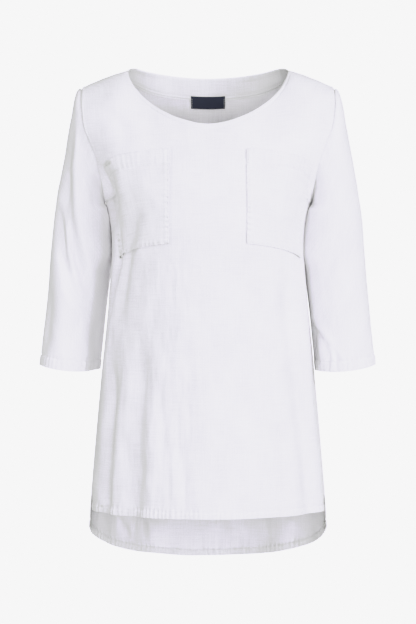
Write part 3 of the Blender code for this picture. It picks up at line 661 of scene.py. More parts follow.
# ---- relief of the cloth
def crease_depth(crease, x, z):
    line = np.array(crease.line, float).reshape(-1, 2)
    steps = np.diff(line, axis=0)
    lengths = np.linalg.norm(steps, axis=1)
    before = np.concatenate([[0.0], np.cumsum(lengths)])
    nearest, signed, run = np.full(x.shape, 1e9), np.zeros(x.shape), np.zeros(x.shape)
    for start, step, length, gone in zip(line[:-1], steps, lengths, before):
        part = np.clip(((x - start[0]) * step[0] + (z - start[1]) * step[1]) / length**2, 0.0, 1.0)
        dx, dz = x - start[0] - part * step[0], z - start[1] - part * step[1]
        distance = np.hypot(dx, dz)
        closer = distance < nearest
        nearest = np.where(closer, distance, nearest)
        signed = np.where(closer, np.copysign(distance, step[0] * dz - step[1] * dx), signed)
        run = np.where(closer, (gone + part * length) / before[-1], run)
    taper = np.sin(math.pi * np.clip(run, 0.0, 1.0)) ** 0.8
    middle = np.copysign(2.1 * crease.width, crease.ridge)
    ridge = abs(crease.ridge) * bell((signed - middle) / (1.1 * crease.width))
    return crease.depth * taper * (bell(signed / crease.width) - ridge)


def creases_depth(creases, points):
    """How far creases push the cloth in."""
    return sum(crease_depth(crease, points[..., 0], points[..., 2]) for crease in creases)


def pocket_print(across, height):
    """Groove that a sewn pocket presses into the front, just outside its edges."""
    bottom, top = pocket_ends(across)
    t = (height - bottom) / (top - bottom)
    inner, outer = pocket_sides(t)
    s = (np.abs(across) - inner) / (outer - inner)
    beside = np.maximum(-s, s - 1.0) * POCKET_WIDTH
    away = np.maximum(beside, np.maximum(-t, t - 1.0) * POCKET_HEIGHT)
    groove = (PRINT_GROOVE + PRINT_AT_MOUTH * smooth((t - 0.98) / 0.03)) * bell((away - 1.2) / 1.5)
    return groove + PRINT_FLAT * smooth((2.0 - away) / 2.0) * smooth((1.0 - t) / 0.03)


def hem_band(edge, inset):
    """Relief of a turned hem: its doubled cloth stands proud, and its stitches sink in."""
    step = edge.proud * smooth((edge.stitch + 1.2 - inset) / 2.4)
    past = inset - edge.stitch
    return step - HEM_GROOVE * bell((past + 0.3) / 0.8) - HEM_STEP * bell((past - 1.7) / 0.9)


def puckers(edge, along, inset, seed):
    """Short uneven ripples across a stitched edge, where its thread draws the cloth in."""
    phase = along / edge.pitch + 0.55 * wander(along, 21.0, seed) + 0.010 * inset * wander(along, 33.0, seed + 1)
    strength = edge.ripple * (0.55 + 0.45 * wander(along, 13.0, seed + 2))
    window = 0.45 + 0.55 * bell((inset - edge.stitch) / (0.55 * edge.stitch))
    window = window * smooth((edge.stitch + edge.reach - inset) / edge.reach)
    return strength * window * (0.5 * np.sin(2.0 * math.pi * phase) + 0.12 * np.sin(4.0 * math.pi * phase))


WRINKLE_LENGTHS = ((46.0, 60.0, 74.0), (17.0, 24.0, 48.0), (8.0, 10.0, 13.0))


def wrinkles(points, seed, amounts=(0.80, 0.60, 0.16)):
    """The faint unevenness of washed linen that was pressed while damp."""
    levels = enumerate(zip(amounts, WRINKLE_LENGTHS))
    return sum(amount * crumple(points, lengths, seed + level) for level, (amount, lengths) in levels)


# ---- sheets of points
# A sheet's outer face: its points and outward directions by row and column, where its cloth lies on the flat
# cut, and whether it closes round.
Sheet = namedtuple("Sheet", "points normals flat closed")


def turned_edge(depth, lines, radius=TURN_RADIUS, under=-1.0):
    """(inset, offset) of an edge's lines, from the free end of the cloth turned in, round its fold, and on.

    Under is -1 where the cloth turns in behind its form, and 1 where it turns out over it.
    """
    strip = [(depth * part, under * 2.0 * radius) for part in (1.0, 0.66, 0.33)]
    turns = [math.pi * part for part in (1.0, 0.78, 0.5, 0.22, 0.0)]
    fold = [(radius * (1.0 - math.sin(turn)), under * radius * (1.0 - math.cos(turn))) for turn in turns]
    return strip + fold + [(line, 0.0) for line in lines]


def between_edges(start, end, spans, length):
    """Places and offsets of a sheet's lines from one edge's to the other's, over the length between the two."""
    first, last = start[-1][0], length - end[-1][0]
    places = [inset + 0.0 * length for inset, _ in start]
    places += [first + (last - first) * part for part in np.linspace(0.0, 1.0, spans + 1)[1:-1]]
    places += [length - inset for inset, _ in reversed(end)]
    offsets = [offset for _, offset in start] + [0.0] * (spans - 1) + [offset for _, offset in reversed(end)]
    return np.array(places), np.array(offsets)


def thicken(start, end, spacing, dense):
    """Shares from 0 to 1 of a run of heights, a spacing apart, and closer inside the dense parts of it."""
    heights = np.linspace(start, end, 2001)
    near = np.full_like(heights, 1.0 / spacing)
    for low, high, close in dense:
        outside = np.maximum(0.0, np.abs(heights - 0.5 * (low + high)) - 0.5 * (high - low))
        near = np.maximum(near, bell(outside / 8.0) / close)
    gone = np.concatenate([[0.0], np.cumsum(near[1:] * np.diff(heights))])
    stops = np.linspace(0.0, gone[-1], round(gone[-1]) + 1)
    return list((np.interp(stops, gone, heights)[1:-1] - start) / (end - start))


def grid_normals(points, closed, outward):
    """Directions square to a sheet of points."""
    if closed:
        wrapped = np.concatenate([points[:, -2:-1], points, points[:, 1:2]], axis=1)
        along = (wrapped[:, 2:] - wrapped[:, :-2]) * 0.5
    else:
        along = np.gradient(points, axis=1)
    return unit(np.cross(along, np.gradient(points, axis=0))) * outward


def lay_flat(points, normals, facing, base_row):
    """Where a sheet's points lie on the flat cut: along the weft from its middle, along the warp from a row."""
    warp = unit(np.array([0.0, 0.0, 1.0]) - normals[..., 2:] * normals)

    def gone(directions, axis):
        count = directions.shape[axis]
        middle = 0.5 * (directions.take(range(1, count), axis) + directions.take(range(count - 1), axis))
        parts = np.sum(np.diff(points, axis=axis) * middle, axis=-1)
        return np.concatenate([np.zeros_like(parts.take([0], axis)), np.cumsum(parts, axis)], axis)

    u, v = gone(np.cross(warp, normals) * -facing, 1), gone(warp, 0)
    middle = points.shape[1] // 2
    return vector(u - u[:, middle : middle + 1], v - v[base_row : base_row + 1])


# ---- front and back
def panel_grid(panel):
    """Shares across, rises, and the offsets of turned edges, of a panel's points."""
    side = turned_edge(ALLOWANCE, SIDE_LINES)
    places, side_offset = between_edges(side, side, PANEL_COLUMNS, 2.0 * SIDE_SPAN)
    across = places / SIDE_SPAN - 1.0
    low, high = turned_edge(HEM.stitch + HEM_PAST_STITCH, HEM_LINES), turned_edge(ALLOWANCE, NECK_LINES)[::-1]
    lower, upper, dense = panel.spacing
    scale = UNDERARM_HEIGHT - hem_height(panel, across)
    rises = [inset / scale for inset, _ in low]
    start = rises[-1]
    rises += [start + (1.0 - start) * part for part in thicken(FRONT_HEM_HEIGHT, UNDERARM_HEIGHT, lower, dense)]
    rises += [np.ones_like(across)]
    tops = rises_at_depths(panel, across, np.array([inset for inset, _ in high])[:, None])
    rises += [1.0 + (tops[0] - 1.0) * part for part in thicken(UNDERARM_HEIGHT, UPPER_END, upper, dense)] + list(tops)
    offset = [o for _, o in low] + [0.0] * (len(rises) - len(low) - len(high)) + [o for _, o in high]
    return np.broadcast_to(across, (len(rises), len(across))), np.array(rises), np.add.outer(offset, side_offset)


def panel_relief(panel, across, rise, points, weft, high):
    """How far the cloth of a panel stands out from its plain form."""
    z, seed = points[..., 2], panel.seed
    side = (1.0 - np.abs(across)) * SIDE_SPAN
    low = z - hem_height(panel, across[0])
    inside = smooth(side / 12.0)
    relief = wrinkles(points, seed) * inside - fold_depth(panel, across, z) + hem_band(HEM, low)
    relief -= creases_depth(panel.creases, points) * smooth(side / 26.0) * smooth((high - 8.0) / 20.0)
    # one side of the front hangs in more small wrinkles than the other, and its hem is drawn in more
    drawn = 0.3 + 0.7 * smooth((10.0 - weft) / 60.0) if panel is FRONT else 0.7
    hanging = 0.40 * crumple(points, (6.0, 12.0, 36.0), seed + 3) + 0.42 * crumple(points, (4.6, 8.0, 9.0), seed + 4)
    relief += HANGING_WRINKLE * hanging * (drawn - 0.1) * smooth((-250.0 - z) / 120.0) * inside
    relief += puckers(HEM, weft, low, seed + 5) * drawn * smooth(side / 9.0)
    if panel is FRONT:
        relief -= pocket_print(across, z)
    neck = smooth((NECK_SHARE - 0.012 - np.abs(across)) / 0.03)
    relief += (hem_band(NECK, high) + puckers(NECK, weft, high, seed + 9)) * neck
    vent = smooth((VENT_TOP_HEIGHT + 12.0 - z) / 16.0)
    relief += (hem_band(VENT, side) + puckers(VENT, z, side, seed + 13)) * vent
    # the turnings lift the armhole's edge, and its seam pulls the edge itself down
    seam = smooth((rise - 0.985) / 0.03) * smooth(high / 14.0)
    ridge = smooth((ALLOWANCE - 2.0 - side) / 3.0) - ARMHOLE_DIP * bell(side / 1.7)
    return relief + (ridge + puckers(ARMHOLE, high, side, seed + 17)) * seam


def panel_sheet(panel):
    across, rise, offset = panel_grid(panel)
    points, normals = form(panel, across, rise)
    flat = lay_flat(points, normals, panel.facing, int(np.argmin(np.abs(rise[:, 0] - 1.0))))
    rises, depths = neck_depths(panel, across[0])
    high = np.stack([np.interp(column, rises, depth) for column, depth in zip(rise.T, depths)], axis=1)
    high = np.where(rise < 1.0, high + 200.0, high)  # below the underarm, out of reach of the top's sewing
    relief = panel_relief(panel, across, rise, points, flat[..., 0], high)
    points = points + normals * (offset + relief)[..., None]
    points[..., 1] += panel.facing * 0.2 * SEAM_GAP
    return Sheet(points, grid_normals(points, False, -panel.facing), flat, False)


# ---- sleeves
def body_side(y, height):
    """How far out the side of the body stands."""
    depth = np.where(y < 0.0, section_value("front_depth", height), section_value("back_depth", height))
    return section_value("half_width", height) * rounded(np.abs(y) / depth, section_value("roundness", height))


def armhole_seam(side):
    """Points of the armhole seam, evenly spaced, from the underarm over the front, the tip and the back."""
    climb = np.linspace(0.0, 1.0, 400)
    halves = []
    for panel in (FRONT, BACK):
        line = armhole_point(panel, side, climb)
        normals = form_normal(panel, np.full_like(climb, side), 1.0 + climb)
        run = running_length(line, 0)
        steps = np.linspace(0.0, run[-1], SLEEVE_COLUMNS // 2 + 1)
        halves.append([along_line(run, table, steps) for table in (line, normals)])
    seam, normals = (np.concatenate([front, back[::-1][1:]]) for front, back in zip(*halves))
    return seam, unit(normals)


def smooth_round(values, passes):
    """Evens out what runs round a closed line."""
    for _ in range(passes):
        ring = values[:-1]
        ring = 0.25 * np.roll(ring, 1, 0) + 0.5 * ring + 0.25 * np.roll(ring, -1, 0)
        values = np.concatenate([ring, ring[:1]])
    return values


def round_points(section, sleeve, angle):
    x = 0.5 * (section.outer + section.inner) + 0.5 * (section.outer - section.inner) * np.cos(angle)
    y = section.middle - section.half_depth * np.sin(angle) - sleeve.swing * np.cos(angle)
    z = section.height + section.tilt * np.cos(angle) - section.sag * np.clip(np.sin(angle), 0.0, None) ** 2
    return vector(sleeve.side * x, y, z)


def sleeve_fold_depth(folds, angle, height):
    total = 0.0 * height
    for fold in folds:
        run = np.clip((fold.top - height) / (fold.top - fold.bottom), 0.0, 1.0)
        middle = fold.angle_top + (fold.angle_bottom - fold.angle_top) * run
        turn = (np.degrees(angle) - middle + 180.0) % 360.0 - 180.0
        total += fold.depth * np.sin(math.pi * run) * bell(np.radians(turn) * SLEEVE_RADIUS / fold.width)
    return total


def sleeve_paths(sleeve):
    """A sleeve's plain form: its columns of points, round from the underarm, and the angle and run of each."""
    side = sleeve.side
    seam, normals = armhole_seam(side)
    normals = unit(smooth_round(normals, 10))
    ring = np.concatenate([seam[-2:-1], seam, seam[1:2]])
    tangent = smooth_round(ring[2:] - ring[:-2], 6)
    direction = unit(smooth_round(unit(np.cross(normals, tangent) * -side), 8))
    run = running_length(seam, 0)
    tip = run[SLEEVE_COLUMNS // 2]
    angle = np.where(run <= tip, math.pi * (1.0 - run / tip), -math.pi * (run - tip) / (run[-1] - tip))

    start = seam - direction * ARMHOLE_TUCK
    stops = [start + direction * EDGE_ROW] + [round_points(section, sleeve, angle) for section in SLEEVE_ROUNDS]
    share = 0.5 * (1.0 + np.cos(angle))[:, None]
    turn = UNDERARM_TURN * (1.0 - share) ** 4
    headings = [unit(direction * (1.0 - turn) + np.array([side, 0.0, 0.0]) * turn)]
    for index in range(1, len(stops)):
        before = unit(stops[index] - stops[index - 1])
        after = unit(stops[index + 1] - stops[index]) if index + 1 < len(stops) else before
        headings.append(unit(before + after))
    paths = [start]
    for index in range(len(stops) - 1):
        span = np.linalg.norm(stops[index + 1] - stops[index], axis=-1, keepdims=True)
        pull = span if index else SLEEVE_PULL_UNDERARM + (SLEEVE_PULL_TOP - SLEEVE_PULL_UNDERARM) * share
        leave, reach = headings[index] * pull, headings[index + 1] * span
        for t in np.linspace(0.0, 1.0, SLEEVE_STEPS)[(index > 0) :]:
            paths.append(hermite(stops[index], leave, stops[index + 1], reach, t))
    return np.array(paths), angle, run


def sleeve_sheet(sleeve):
    side, seed = sleeve.side, sleeve.seed
    paths, angle, run = sleeve_paths(sleeve)
    lengths = running_length(paths, 0)
    whole = lengths[-1]
    head, cuff = turned_edge(ALLOWANCE, HEAD_LINES), turned_edge(CUFF.stitch + CUFF_PAST_STITCH, CUFF_LINES)
    stations, offset = between_edges(head, cuff, SLEEVE_ROWS, whole)
    low = whole - stations
    tables = [
        np.stack([along_line(lengths[:, c], table[:, c], stations[:, c]) for c in range(len(angle))], axis=1)
        for table in (paths, grid_normals(paths, True, -side))
    ]
    points, normals = tables[0], unit(tables[1])
    angles = np.broadcast_to(angle, stations.shape)
    outward = vector(side * np.cos(angles), -np.sin(angles), 0.0 * angles)
    points = points - outward * sleeve_fold_depth(sleeve.folds, angles, points[..., 2])[..., None]

    z = points[..., 2]
    inner = smooth((-np.cos(angles) - 0.55) / 0.45) * smooth((UNDERARM_HEIGHT + 6.0 - z) / 40.0)
    points[..., 1] += sleeve.behind * inner
    points[..., 0] += side * SLEEVE_GAP * sleeve.behind * inner * smooth((APART_HEIGHT - z) / 40.0)

    girth = np.broadcast_to((run / run[-1] - 0.5) * SLEEVE_GIRTH, stations.shape)
    ease = smooth(stations / 20.0) * smooth((0.5 * SLEEVE_GIRTH - np.abs(girth)) / 12.0)
    relief = wrinkles(points, seed) * ease
    relief -= creases_depth(sleeve.creases, points) * smooth((np.sin(angles) + 0.15) / 0.5)
    relief += hem_band(CUFF, low) - CUFF_STEP * bell((low - CUFF.stitch - 0.6) / 1.4)
    relief += puckers(CUFF, girth, low, seed + 5)
    relief += puckers(SLEEVE_HEAD, girth, stations, seed + 7) * smooth(stations / 2.0)
    relief -= ARMHOLE_SINK * smooth((5.0 - stations) / 4.0)
    # eased into the armhole, its head stands up beside the seam
    eased = smooth(stations / 12.0) * smooth((70.0 - stations) / 58.0)
    relief += HEAD_RISE * eased * np.cos(0.5 * angles) ** 2
    points = points + normals * relief[..., None]

    # the hanging sleeve rests on the side of the body, drawn close against it below the underarm
    z = points[..., 2]
    close = smooth((z - CLOSE_HEIGHT) / 30.0) * smooth((UNDERARM_HEIGHT - z) / 12.0)
    close = close * smooth((-np.cos(angles) - 0.1) / 0.6)
    x = side * points[..., 0] - ARMPIT_PULL * close * smooth(stations / 14.0)
    rest = body_side(points[..., 1], z) + SLEEVE_REST * smooth((APART_HEIGHT - z) / 60.0)
    rest = rest - 1e4 * (z > UNDERARM_HEIGHT)  # nothing holds it off above
    points[..., 0] = side * 0.5 * (x + rest + np.sqrt((x - rest) ** 2 + 1.0))
    points = points + normals * offset[:, None, None]
    points[:, -1] = points[:, 0]
    return Sheet(points, grid_normals(points, True, -side), vector(girth, -stations), True)


# ---- pockets, neck facing and label
def pocket_sheet(side, seed):
    """Points of a patch pocket, from its inner to its outer edge and from its bottom to its mouth."""
    edge = turned_edge(POCKET_ALLOWANCE, POCKET_LINES, POCKET_TURN)
    mouth = turned_edge(POCKET_HEM, MOUTH_LINES, POCKET_TURN)
    s, s_offset = between_edges(edge, edge, POCKET_SPANS, POCKET_WIDTH)
    t, t_offset = between_edges(edge, mouth, POCKET_SPANS, POCKET_HEIGHT)
    s, t = np.meshgrid(s / POCKET_WIDTH, t / POCKET_HEIGHT)
    inner, outer = pocket_sides(t)
    across = (inner + (outer - inner) * s) * side
    bottom, top = pocket_ends(across)
    rise = front_rise(across.ravel(), (bottom + (top - bottom) * t).ravel()).reshape(across.shape)
    points, normals = form(FRONT, across, rise)
    along, up = s * POCKET_WIDTH, t * POCKET_HEIGHT
    from_side, from_mouth = np.minimum(along, POCKET_WIDTH - along), POCKET_HEIGHT - up
    nearest = np.minimum(from_side, up)
    # it follows the front's folds, creases and broader wrinkles, with small ones of its own
    relief = POCKET_LIFT - fold_depth(FRONT, across, points[..., 2]) + wrinkles(points, FRONT.seed, (0.80, 0.30))
    relief -= 0.9 * creases_depth(FRONT.creases, points)
    at_mouth = smooth((POCKET_HEM + 8.0 - from_mouth) / 8.0)
    relief += POCKET_WRINKLE * crumple(points, (13.0, 15.0, 17.0), seed)
    relief += MOUTH_WRINKLE * crumple(points, (6.0, 7.0, 10.0), seed + 9) * at_mouth
    turning = smooth((POCKET_ALLOWANCE - nearest) / 1.2) * smooth((from_mouth - 1.0) / 4.0)
    relief += POCKET_SIDE.proud * turning - POCKET_GROOVE * bell((nearest - POCKET_SIDE.stitch) / 0.7)
    relief += POCKET_MOUTH.proud * smooth((POCKET_HEM + 0.6 - from_mouth) / 1.4)
    relief -= (MOUTH_GROOVE + MOUTH_GROOVE_MORE * side) * bell((from_mouth - POCKET_HEM + 0.6) / 0.9)
    relief += puckers(POCKET_SIDE, up, from_side, seed + 3) + puckers(POCKET_BASE, along, up, seed + 5)
    relief += puckers(POCKET_MOUTH, along, from_mouth, seed + 7) * (1.0 + 0.25 * side)
    relief += POCKET_GAPE * bell((s - 0.5) / 0.24) * smooth((40.0 - from_mouth) / 40.0)
    relief -= EDGE_DRAW * bell(nearest / 1.2)
    flat = lay_flat(points, normals, FRONT.facing, POCKET_SPANS // 2)
    points = points + normals * (relief + np.add.outer(t_offset, s_offset))[..., None]
    points[..., 1] += FRONT.facing * 0.5 * SEAM_GAP
    return Sheet(points, grid_normals(points, False, side), flat, False)


def facing_sheet():
    lower = turned_edge(FACING_ALLOWANCE, FACING_LINES, POCKET_TURN, 1.0)
    low, offset = between_edges(lower, FACING_NECK_LINES, FACING_SPANS, FACING_DEPTH)
    low = low[:, None]
    across = np.linspace(-FACING_END_SHARE, FACING_END_SHARE, FACING_COLUMNS)
    depth = FACING_DEPTH * (1.0 - 0.55 * smooth((np.abs(across) - 0.60) / 0.40))
    rise = rises_at_depths(BACK, across, depth * (1.0 - low / FACING_DEPTH))
    points, normals = form(BACK, across, rise)
    flat = lay_flat(points, normals, BACK.facing, 0)
    relief = FACING_WRINKLE * crumple(points, (24.0, 24.0, 18.0), FACING_SEED)
    relief -= FACING_EDGE.proud * smooth((FACING_ALLOWANCE - low) / 1.2)
    relief += FACING_GROOVE * bell((low - FACING_EDGE.stitch) / 1.1)
    relief += FACING_STEP * bell((low - FACING_ALLOWANCE - 0.6) / 0.9)
    relief -= puckers(FACING_EDGE, flat[..., 0], low, FACING_SEED + 4)
    points = points + normals * (FACING_FACE + offset[:, None] + relief)[..., None]
    return Sheet(points, grid_normals(points, False, 1.0), flat, False)


def label_sheet():
    edge = turned_edge(LABEL_ALLOWANCE, LABEL_LINES, LABEL_TURN, 1.0)
    along, offset = between_edges(edge, edge, LABEL_SPANS, LABEL_WIDTH)
    across = (2.0 * along / LABEL_WIDTH - 1.0) * LABEL_SHARE
    depths = np.linspace(LABEL_BOTTOM_DEPTH, LABEL_TOP_DEPTH, LABEL_ROWS)[:, None]
    rise = rises_at_depths(BACK, across, depths)
    points, normals = form(BACK, across, rise)
    flat = np.stack(np.broadcast_arrays(along - 0.5 * LABEL_WIDTH, -depths), axis=-1)
    free = smooth((8.0 - LABEL_BOTTOM_DEPTH + depths) / 8.0)
    relief = LABEL_WRINKLE * crumple(points, (15.0, 15.0, 9.0), LABEL_SEED)
    relief -= LABEL_BOW * np.sin(math.pi * along / LABEL_WIDTH) * free
    relief += LABEL_SEWN * bell((np.minimum(along, LABEL_WIDTH - along) - 1.5) / 0.6)
    points = points + normals * (LABEL_FACE + offset + relief)[..., None]
    return Sheet(points, grid_normals(points, False, 1.0), flat, False)


# ---- materials
WAVE_TURN = 0.314  # scale of a wave texture that repeats once a metre


def linear(hex_colour):
    """Linear red, green and blue of an sRGB hex value."""
    channels = (int(hex_colour[index : index + 2], 16) / 255.0 for index in (1, 3, 5))
    return tuple(c / 12.92 if c <= 0.04045 else ((c + 0.055) / 1.055) ** 2.4 for c in channels)


def add_node(tree, kind, settings=None, inputs=None, links=None):
    """Adds a node with its settings, the values of its inputs and what its inputs are linked to."""
    node = tree.nodes.new(kind)
    for name, value in (settings or {}).items():
        setattr(node, name, value)
    for name, value in (inputs or {}).items():
        node.inputs[name].default_value = value
    for name, socket in (links or {}).items():
        tree.links.new(socket, node.inputs[name])
    return node


def new_material(name, colour, settings):
    """A material with its colour and other constants, given as (socket, value), its nodes and its shader."""
    material = bpy.data.materials.new(name)
    material.use_nodes = True
    shader = material.node_tree.nodes["Principled BSDF"]
    for socket, value in (("Base Color", (*colour, 1.0)), *settings):
        shader.inputs[socket].default_value = value
    material.diffuse_color = (*colour, 1.0)
    return material, material.node_tree, shader


def shade_pattern(tree, shader, pattern, tones, base, height, strength, distance):
    """Tones the base colour by a pattern, between two (place, share of the base), and raises a height as bump."""
    if pattern:
        ramp = add_node(tree, "ShaderNodeValToRGB", links={"Fac": pattern})
        for element, (place, share) in zip(ramp.color_ramp.elements, tones):
            element.position = place
            element.color = (*(min(1.0, c * share) for c in base), 1.0)
        tree.links.new(ramp.outputs["Color"], shader.inputs["Base Color"])
    inputs = {"Strength": strength, "Distance": distance * MM}
    bump = add_node(tree, "ShaderNodeBump", inputs=inputs, links={"Height": height})
    tree.links.new(bump.outputs["Normal"], shader.inputs["Normal"])


@lru_cache(maxsize=None)
def washed_linen():
    """Plain-weave linen, garment washed: matt, with soft fuzz and thick and thin yarns that show as fine streaks."""
    base = tuple(bpy.context.scene.tunic_cloth.linen_colour)
    settings = (
        ("Roughness", 0.92),
        # light soaks into its thin wall and comes out on both sides, so the inside glows
        ("Subsurface Weight", 1.0),
        ("Subsurface Radius", (1.0, 1.0, 1.0)),
        ("Subsurface Scale", 0.5 * MM),
        ("Sheen Weight", 0.1),
        ("Sheen Roughness", 0.5),
        ("Specular IOR Level", 0.25),
    )
    material, tree, shader = new_material("washed_plain_weave_linen", base, settings)
    cut = add_node(tree, "ShaderNodeUVMap", {"uv_map": "flat_cut"}).outputs["UV"]

    # Streaks as long and as thick as given, in mm on the flat cut, which is held in metres, laid over each other
    # by their share. Yarns are about 0.5 mm thick; the streaks are drawn at three times that, so that they show.
    tones = []
    for name, weft, warp, detail, share in (
        ("warp slubs", 1.6, 42.0, 1.0, 0.0),
        ("weft slubs", 34.0, 1.6, 1.0, 0.5),
        ("yarn grain", 1.9, 1.9, 2.0, 0.4),
        ("wash marks", 45.0, 60.0, 2.0, 0.3),
    ):
        scale = {"Scale": (1.0 / (weft * MM), 1.0 / (warp * MM), 1.0)}
        laid = add_node(tree, "ShaderNodeMapping", {"label": name}, scale, {"Vector": cut})
        noise = {"Scale": 1.0, "Detail": detail, "Roughness": 0.55}
        links = {"Vector": laid.outputs["Vector"]}
        streaks = add_node(tree, "ShaderNodeTexNoise", {"noise_dimensions": "2D"}, noise, links).outputs["Fac"]
        if tones:
            links = {"A": tones[-1], "B": streaks}
            mix = add_node(tree, "ShaderNodeMix", {"data_type": "FLOAT"}, {"Factor": share}, links)
            streaks = mix.outputs["Result"]
        tones.append(streaks)

    # the crossing yarns: a plain weave of 1 mm squares, twice the real ones
    scale = {"Scale": (math.pi / (1.0 * MM), math.pi / (1.0 * MM), 1.0)}
    weave = add_node(tree, "ShaderNodeMapping", {"label": "weave"}, scale, {"Vector": cut})
    split = add_node(tree, "ShaderNodeSeparateXYZ", links={"Vector": weave.outputs["Vector"]})
    waves = [
        add_node(tree, "ShaderNodeMath", {"operation": "SINE"}, links={0: split.outputs[axis]}).outputs[0]
        for axis in ("X", "Y")
    ]
    squares = add_node(tree, "ShaderNodeMath", {"operation": "MULTIPLY"}, links={0: waves[0], 1: waves[1]})
    links = {0: squares.outputs[0], 2: tones[2]}
    raised = add_node(tree, "ShaderNodeMath", {"operation": "MULTIPLY_ADD"}, {1: 0.35}, links).outputs[0]
    shade_pattern(tree, shader, tones[3], ((0.36, 0.90), (0.64, 1.06)), base, raised, 0.55, 0.35)
    return material


@lru_cache(maxsize=None)
def sewing_thread():
    """Spun polyester thread, dyed to match: a little smoother than the linen, so its stitches catch the light."""
    base = tuple(bpy.context.scene.tunic_cloth.thread_colour)
    settings = (("Roughness", 0.6), ("Sheen Weight", 0.1))
    material, tree, shader = new_material("spun_polyester_thread", base, settings)
    place = add_node(tree, "ShaderNodeTexCoord").outputs["Object"]
    # two plies laid round each other every 1 mm
    scale = {"Scale": WAVE_TURN / (1.0 * MM), "Distortion": 0.4}
    plies = add_node(tree, "ShaderNodeTexWave", {"bands_direction": "DIAGONAL"}, scale, {"Vector": place})
    shade_pattern(tree, shader, None, (), base, plies.outputs["Fac"], 0.3, 0.1)
    return material


@lru_cache(maxsize=None)
def woven_label():
    """Damask label, woven of fine polyester: smooth, close and dark navy, with a faint rib along its picks."""
    base = tuple(bpy.context.scene.tunic_cloth.label_colour)
    settings = (("Roughness", 0.85), ("Specular IOR Level", 0.2))
    material, tree, shader = new_material("damask_woven_polyester", base, settings)
    cut = add_node(tree, "ShaderNodeUVMap", {"uv_map": "flat_cut"}).outputs["UV"]
    # picks lie 0.25 mm apart, and are drawn at 0.8 mm
    scale = {"Scale": WAVE_TURN / (0.8 * MM), "Distortion": 0.6, "Detail": 1.0}
    ribs = add_node(tree, "ShaderNodeTexWave", {"bands_direction": "Y"}, scale, {"Vector": cut}).outputs["Fac"]
    shade_pattern(tree, shader, ribs, ((0.0, 0.85), (1.0, 1.25)), base, ribs, 0.4, 0.1)
    return material


# ---- meshes
def finish_mesh(name, mesh, material):
    data = bpy.data.meshes.new(name)
    mesh.to_mesh(data)
    mesh.free()
    data.materials.append(material)
    data.shade_smooth()
    piece = bpy.data.objects.new(name, data)
    bpy.context.scene.collection.objects.link(piece)
    return piece


def cut_cloth(name, node, sheet, material, wall, reverse=False, notched=False):
    """Makes thin cloth over a node, its outer face the sheet. Notched cuts the doubled corners away."""
    rows, columns = sheet.points.shape[:2]
    mesh = bmesh.new()
    bmesh.ops.create_grid(mesh, x_segments=columns - 1, y_segments=rows - 1, size=0.5)
    layer = mesh.loops.layers.uv.new("flat_cut")
    places, corners = {}, []
    for vertex in mesh.verts:
        places[vertex] = round((vertex.co.y + 0.5) * (rows - 1)), round((vertex.co.x + 0.5) * (columns - 1))
    for face in mesh.faces:
        for loop in face.loops:
            loop[layer].uv = sheet.flat[places[loop.vert]] * MM
        row, column = (min(places[vertex][axis] for vertex in face.verts) for axis in (0, 1))
        at_end, at_side = (not TURNED <= k < count - 1 - TURNED for k, count in ((row, rows), (column, columns)))
        if notched and at_end and at_side:
            corners.append(face)
    for vertex, place in places.items():
        vertex.co = sheet.points[place] * MM
    bmesh.ops.delete(mesh, geom=corners, context="FACES")
    if sheet.closed:
        bmesh.ops.remove_doubles(mesh, verts=mesh.verts[:], dist=0.01 * MM)
    if reverse:
        bmesh.ops.reverse_faces(mesh, faces=mesh.faces[:])
    cloth = finish_mesh(name, mesh, material)
    solidify = cloth.modifiers.new("wall", "SOLIDIFY")
    solidify.thickness = wall
    solidify.offset = -1.0
    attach(cloth, "root")
    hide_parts(node)
    return cloth


def stitch_line(sheet, rows=slice(None), columns=slice(None)):
    """Points and directions of part of one of a sheet's rows or columns."""
    return [table[rows, columns].reshape(-1, 3) for table in (sheet.points, sheet.normals)]


def add_stitches(name, lines):
    """Makes one joined piece of stitches along lines, lying on the side that their directions point to."""
    settings = bpy.context.scene.tunic_cloth
    pitch, half = settings.stitch_pitch / MM, 0.5 * settings.stitch_length / MM
    mesh = bmesh.new()
    size = Matrix.Diagonal((half * MM, STITCH_HALF_WIDTH * MM, STITCH_FLATNESS * STITCH_HALF_WIDTH * MM, 1.0))
    for points, normals in lines:
        run = running_length(points, 0)
        for number in range(int(run[-1] / pitch)):
            middle = (number + 0.5) * pitch
            start, end = along_line(run, points, (middle - half, middle + half))
            along = unit(end - start)
            across = unit(np.cross(unit(along_line(run, normals, middle)), along))
            up = np.cross(along, across)
            turn = Matrix([list(row) for row in np.stack([along, across, up], axis=1)]).to_4x4()
            place = Matrix.Translation(Vector((0.5 * (start + end) + up * STITCH_LIFT) * MM))
            bmesh.ops.create_icosphere(mesh, subdivisions=1, radius=1.0, matrix=place @ turn @ size)
    piece = finish_mesh(name, mesh, sewing_thread())
    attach(piece, "root")
    return piece


HEM_ROW = EDGE_START + HEM_LINES.index(HEM.stitch)
CUFF_ROW = -1 - EDGE_START - CUFF_LINES.index(15.6)
NECK_ROW = -1 - EDGE_START - NECK_LINES.index(NECK.stitch)
VENT_COLUMN = EDGE_START + SIDE_LINES.index(VENT.stitch)


def panel_lines(sheet):
    """Lines of stitches of a panel's hem and of its two vents."""
    in_vent = sheet.points[:, VENT_COLUMN, 2] < VENT_TOP_HEIGHT
    in_vent[: HEM_ROW + 1] = False
    vents = [stitch_line(sheet, np.flatnonzero(in_vent), column) for column in (VENT_COLUMN, -1 - VENT_COLUMN)]
    return stitch_line(sheet, HEM_ROW, slice(TURNED + 5, -TURNED - 5)), vents


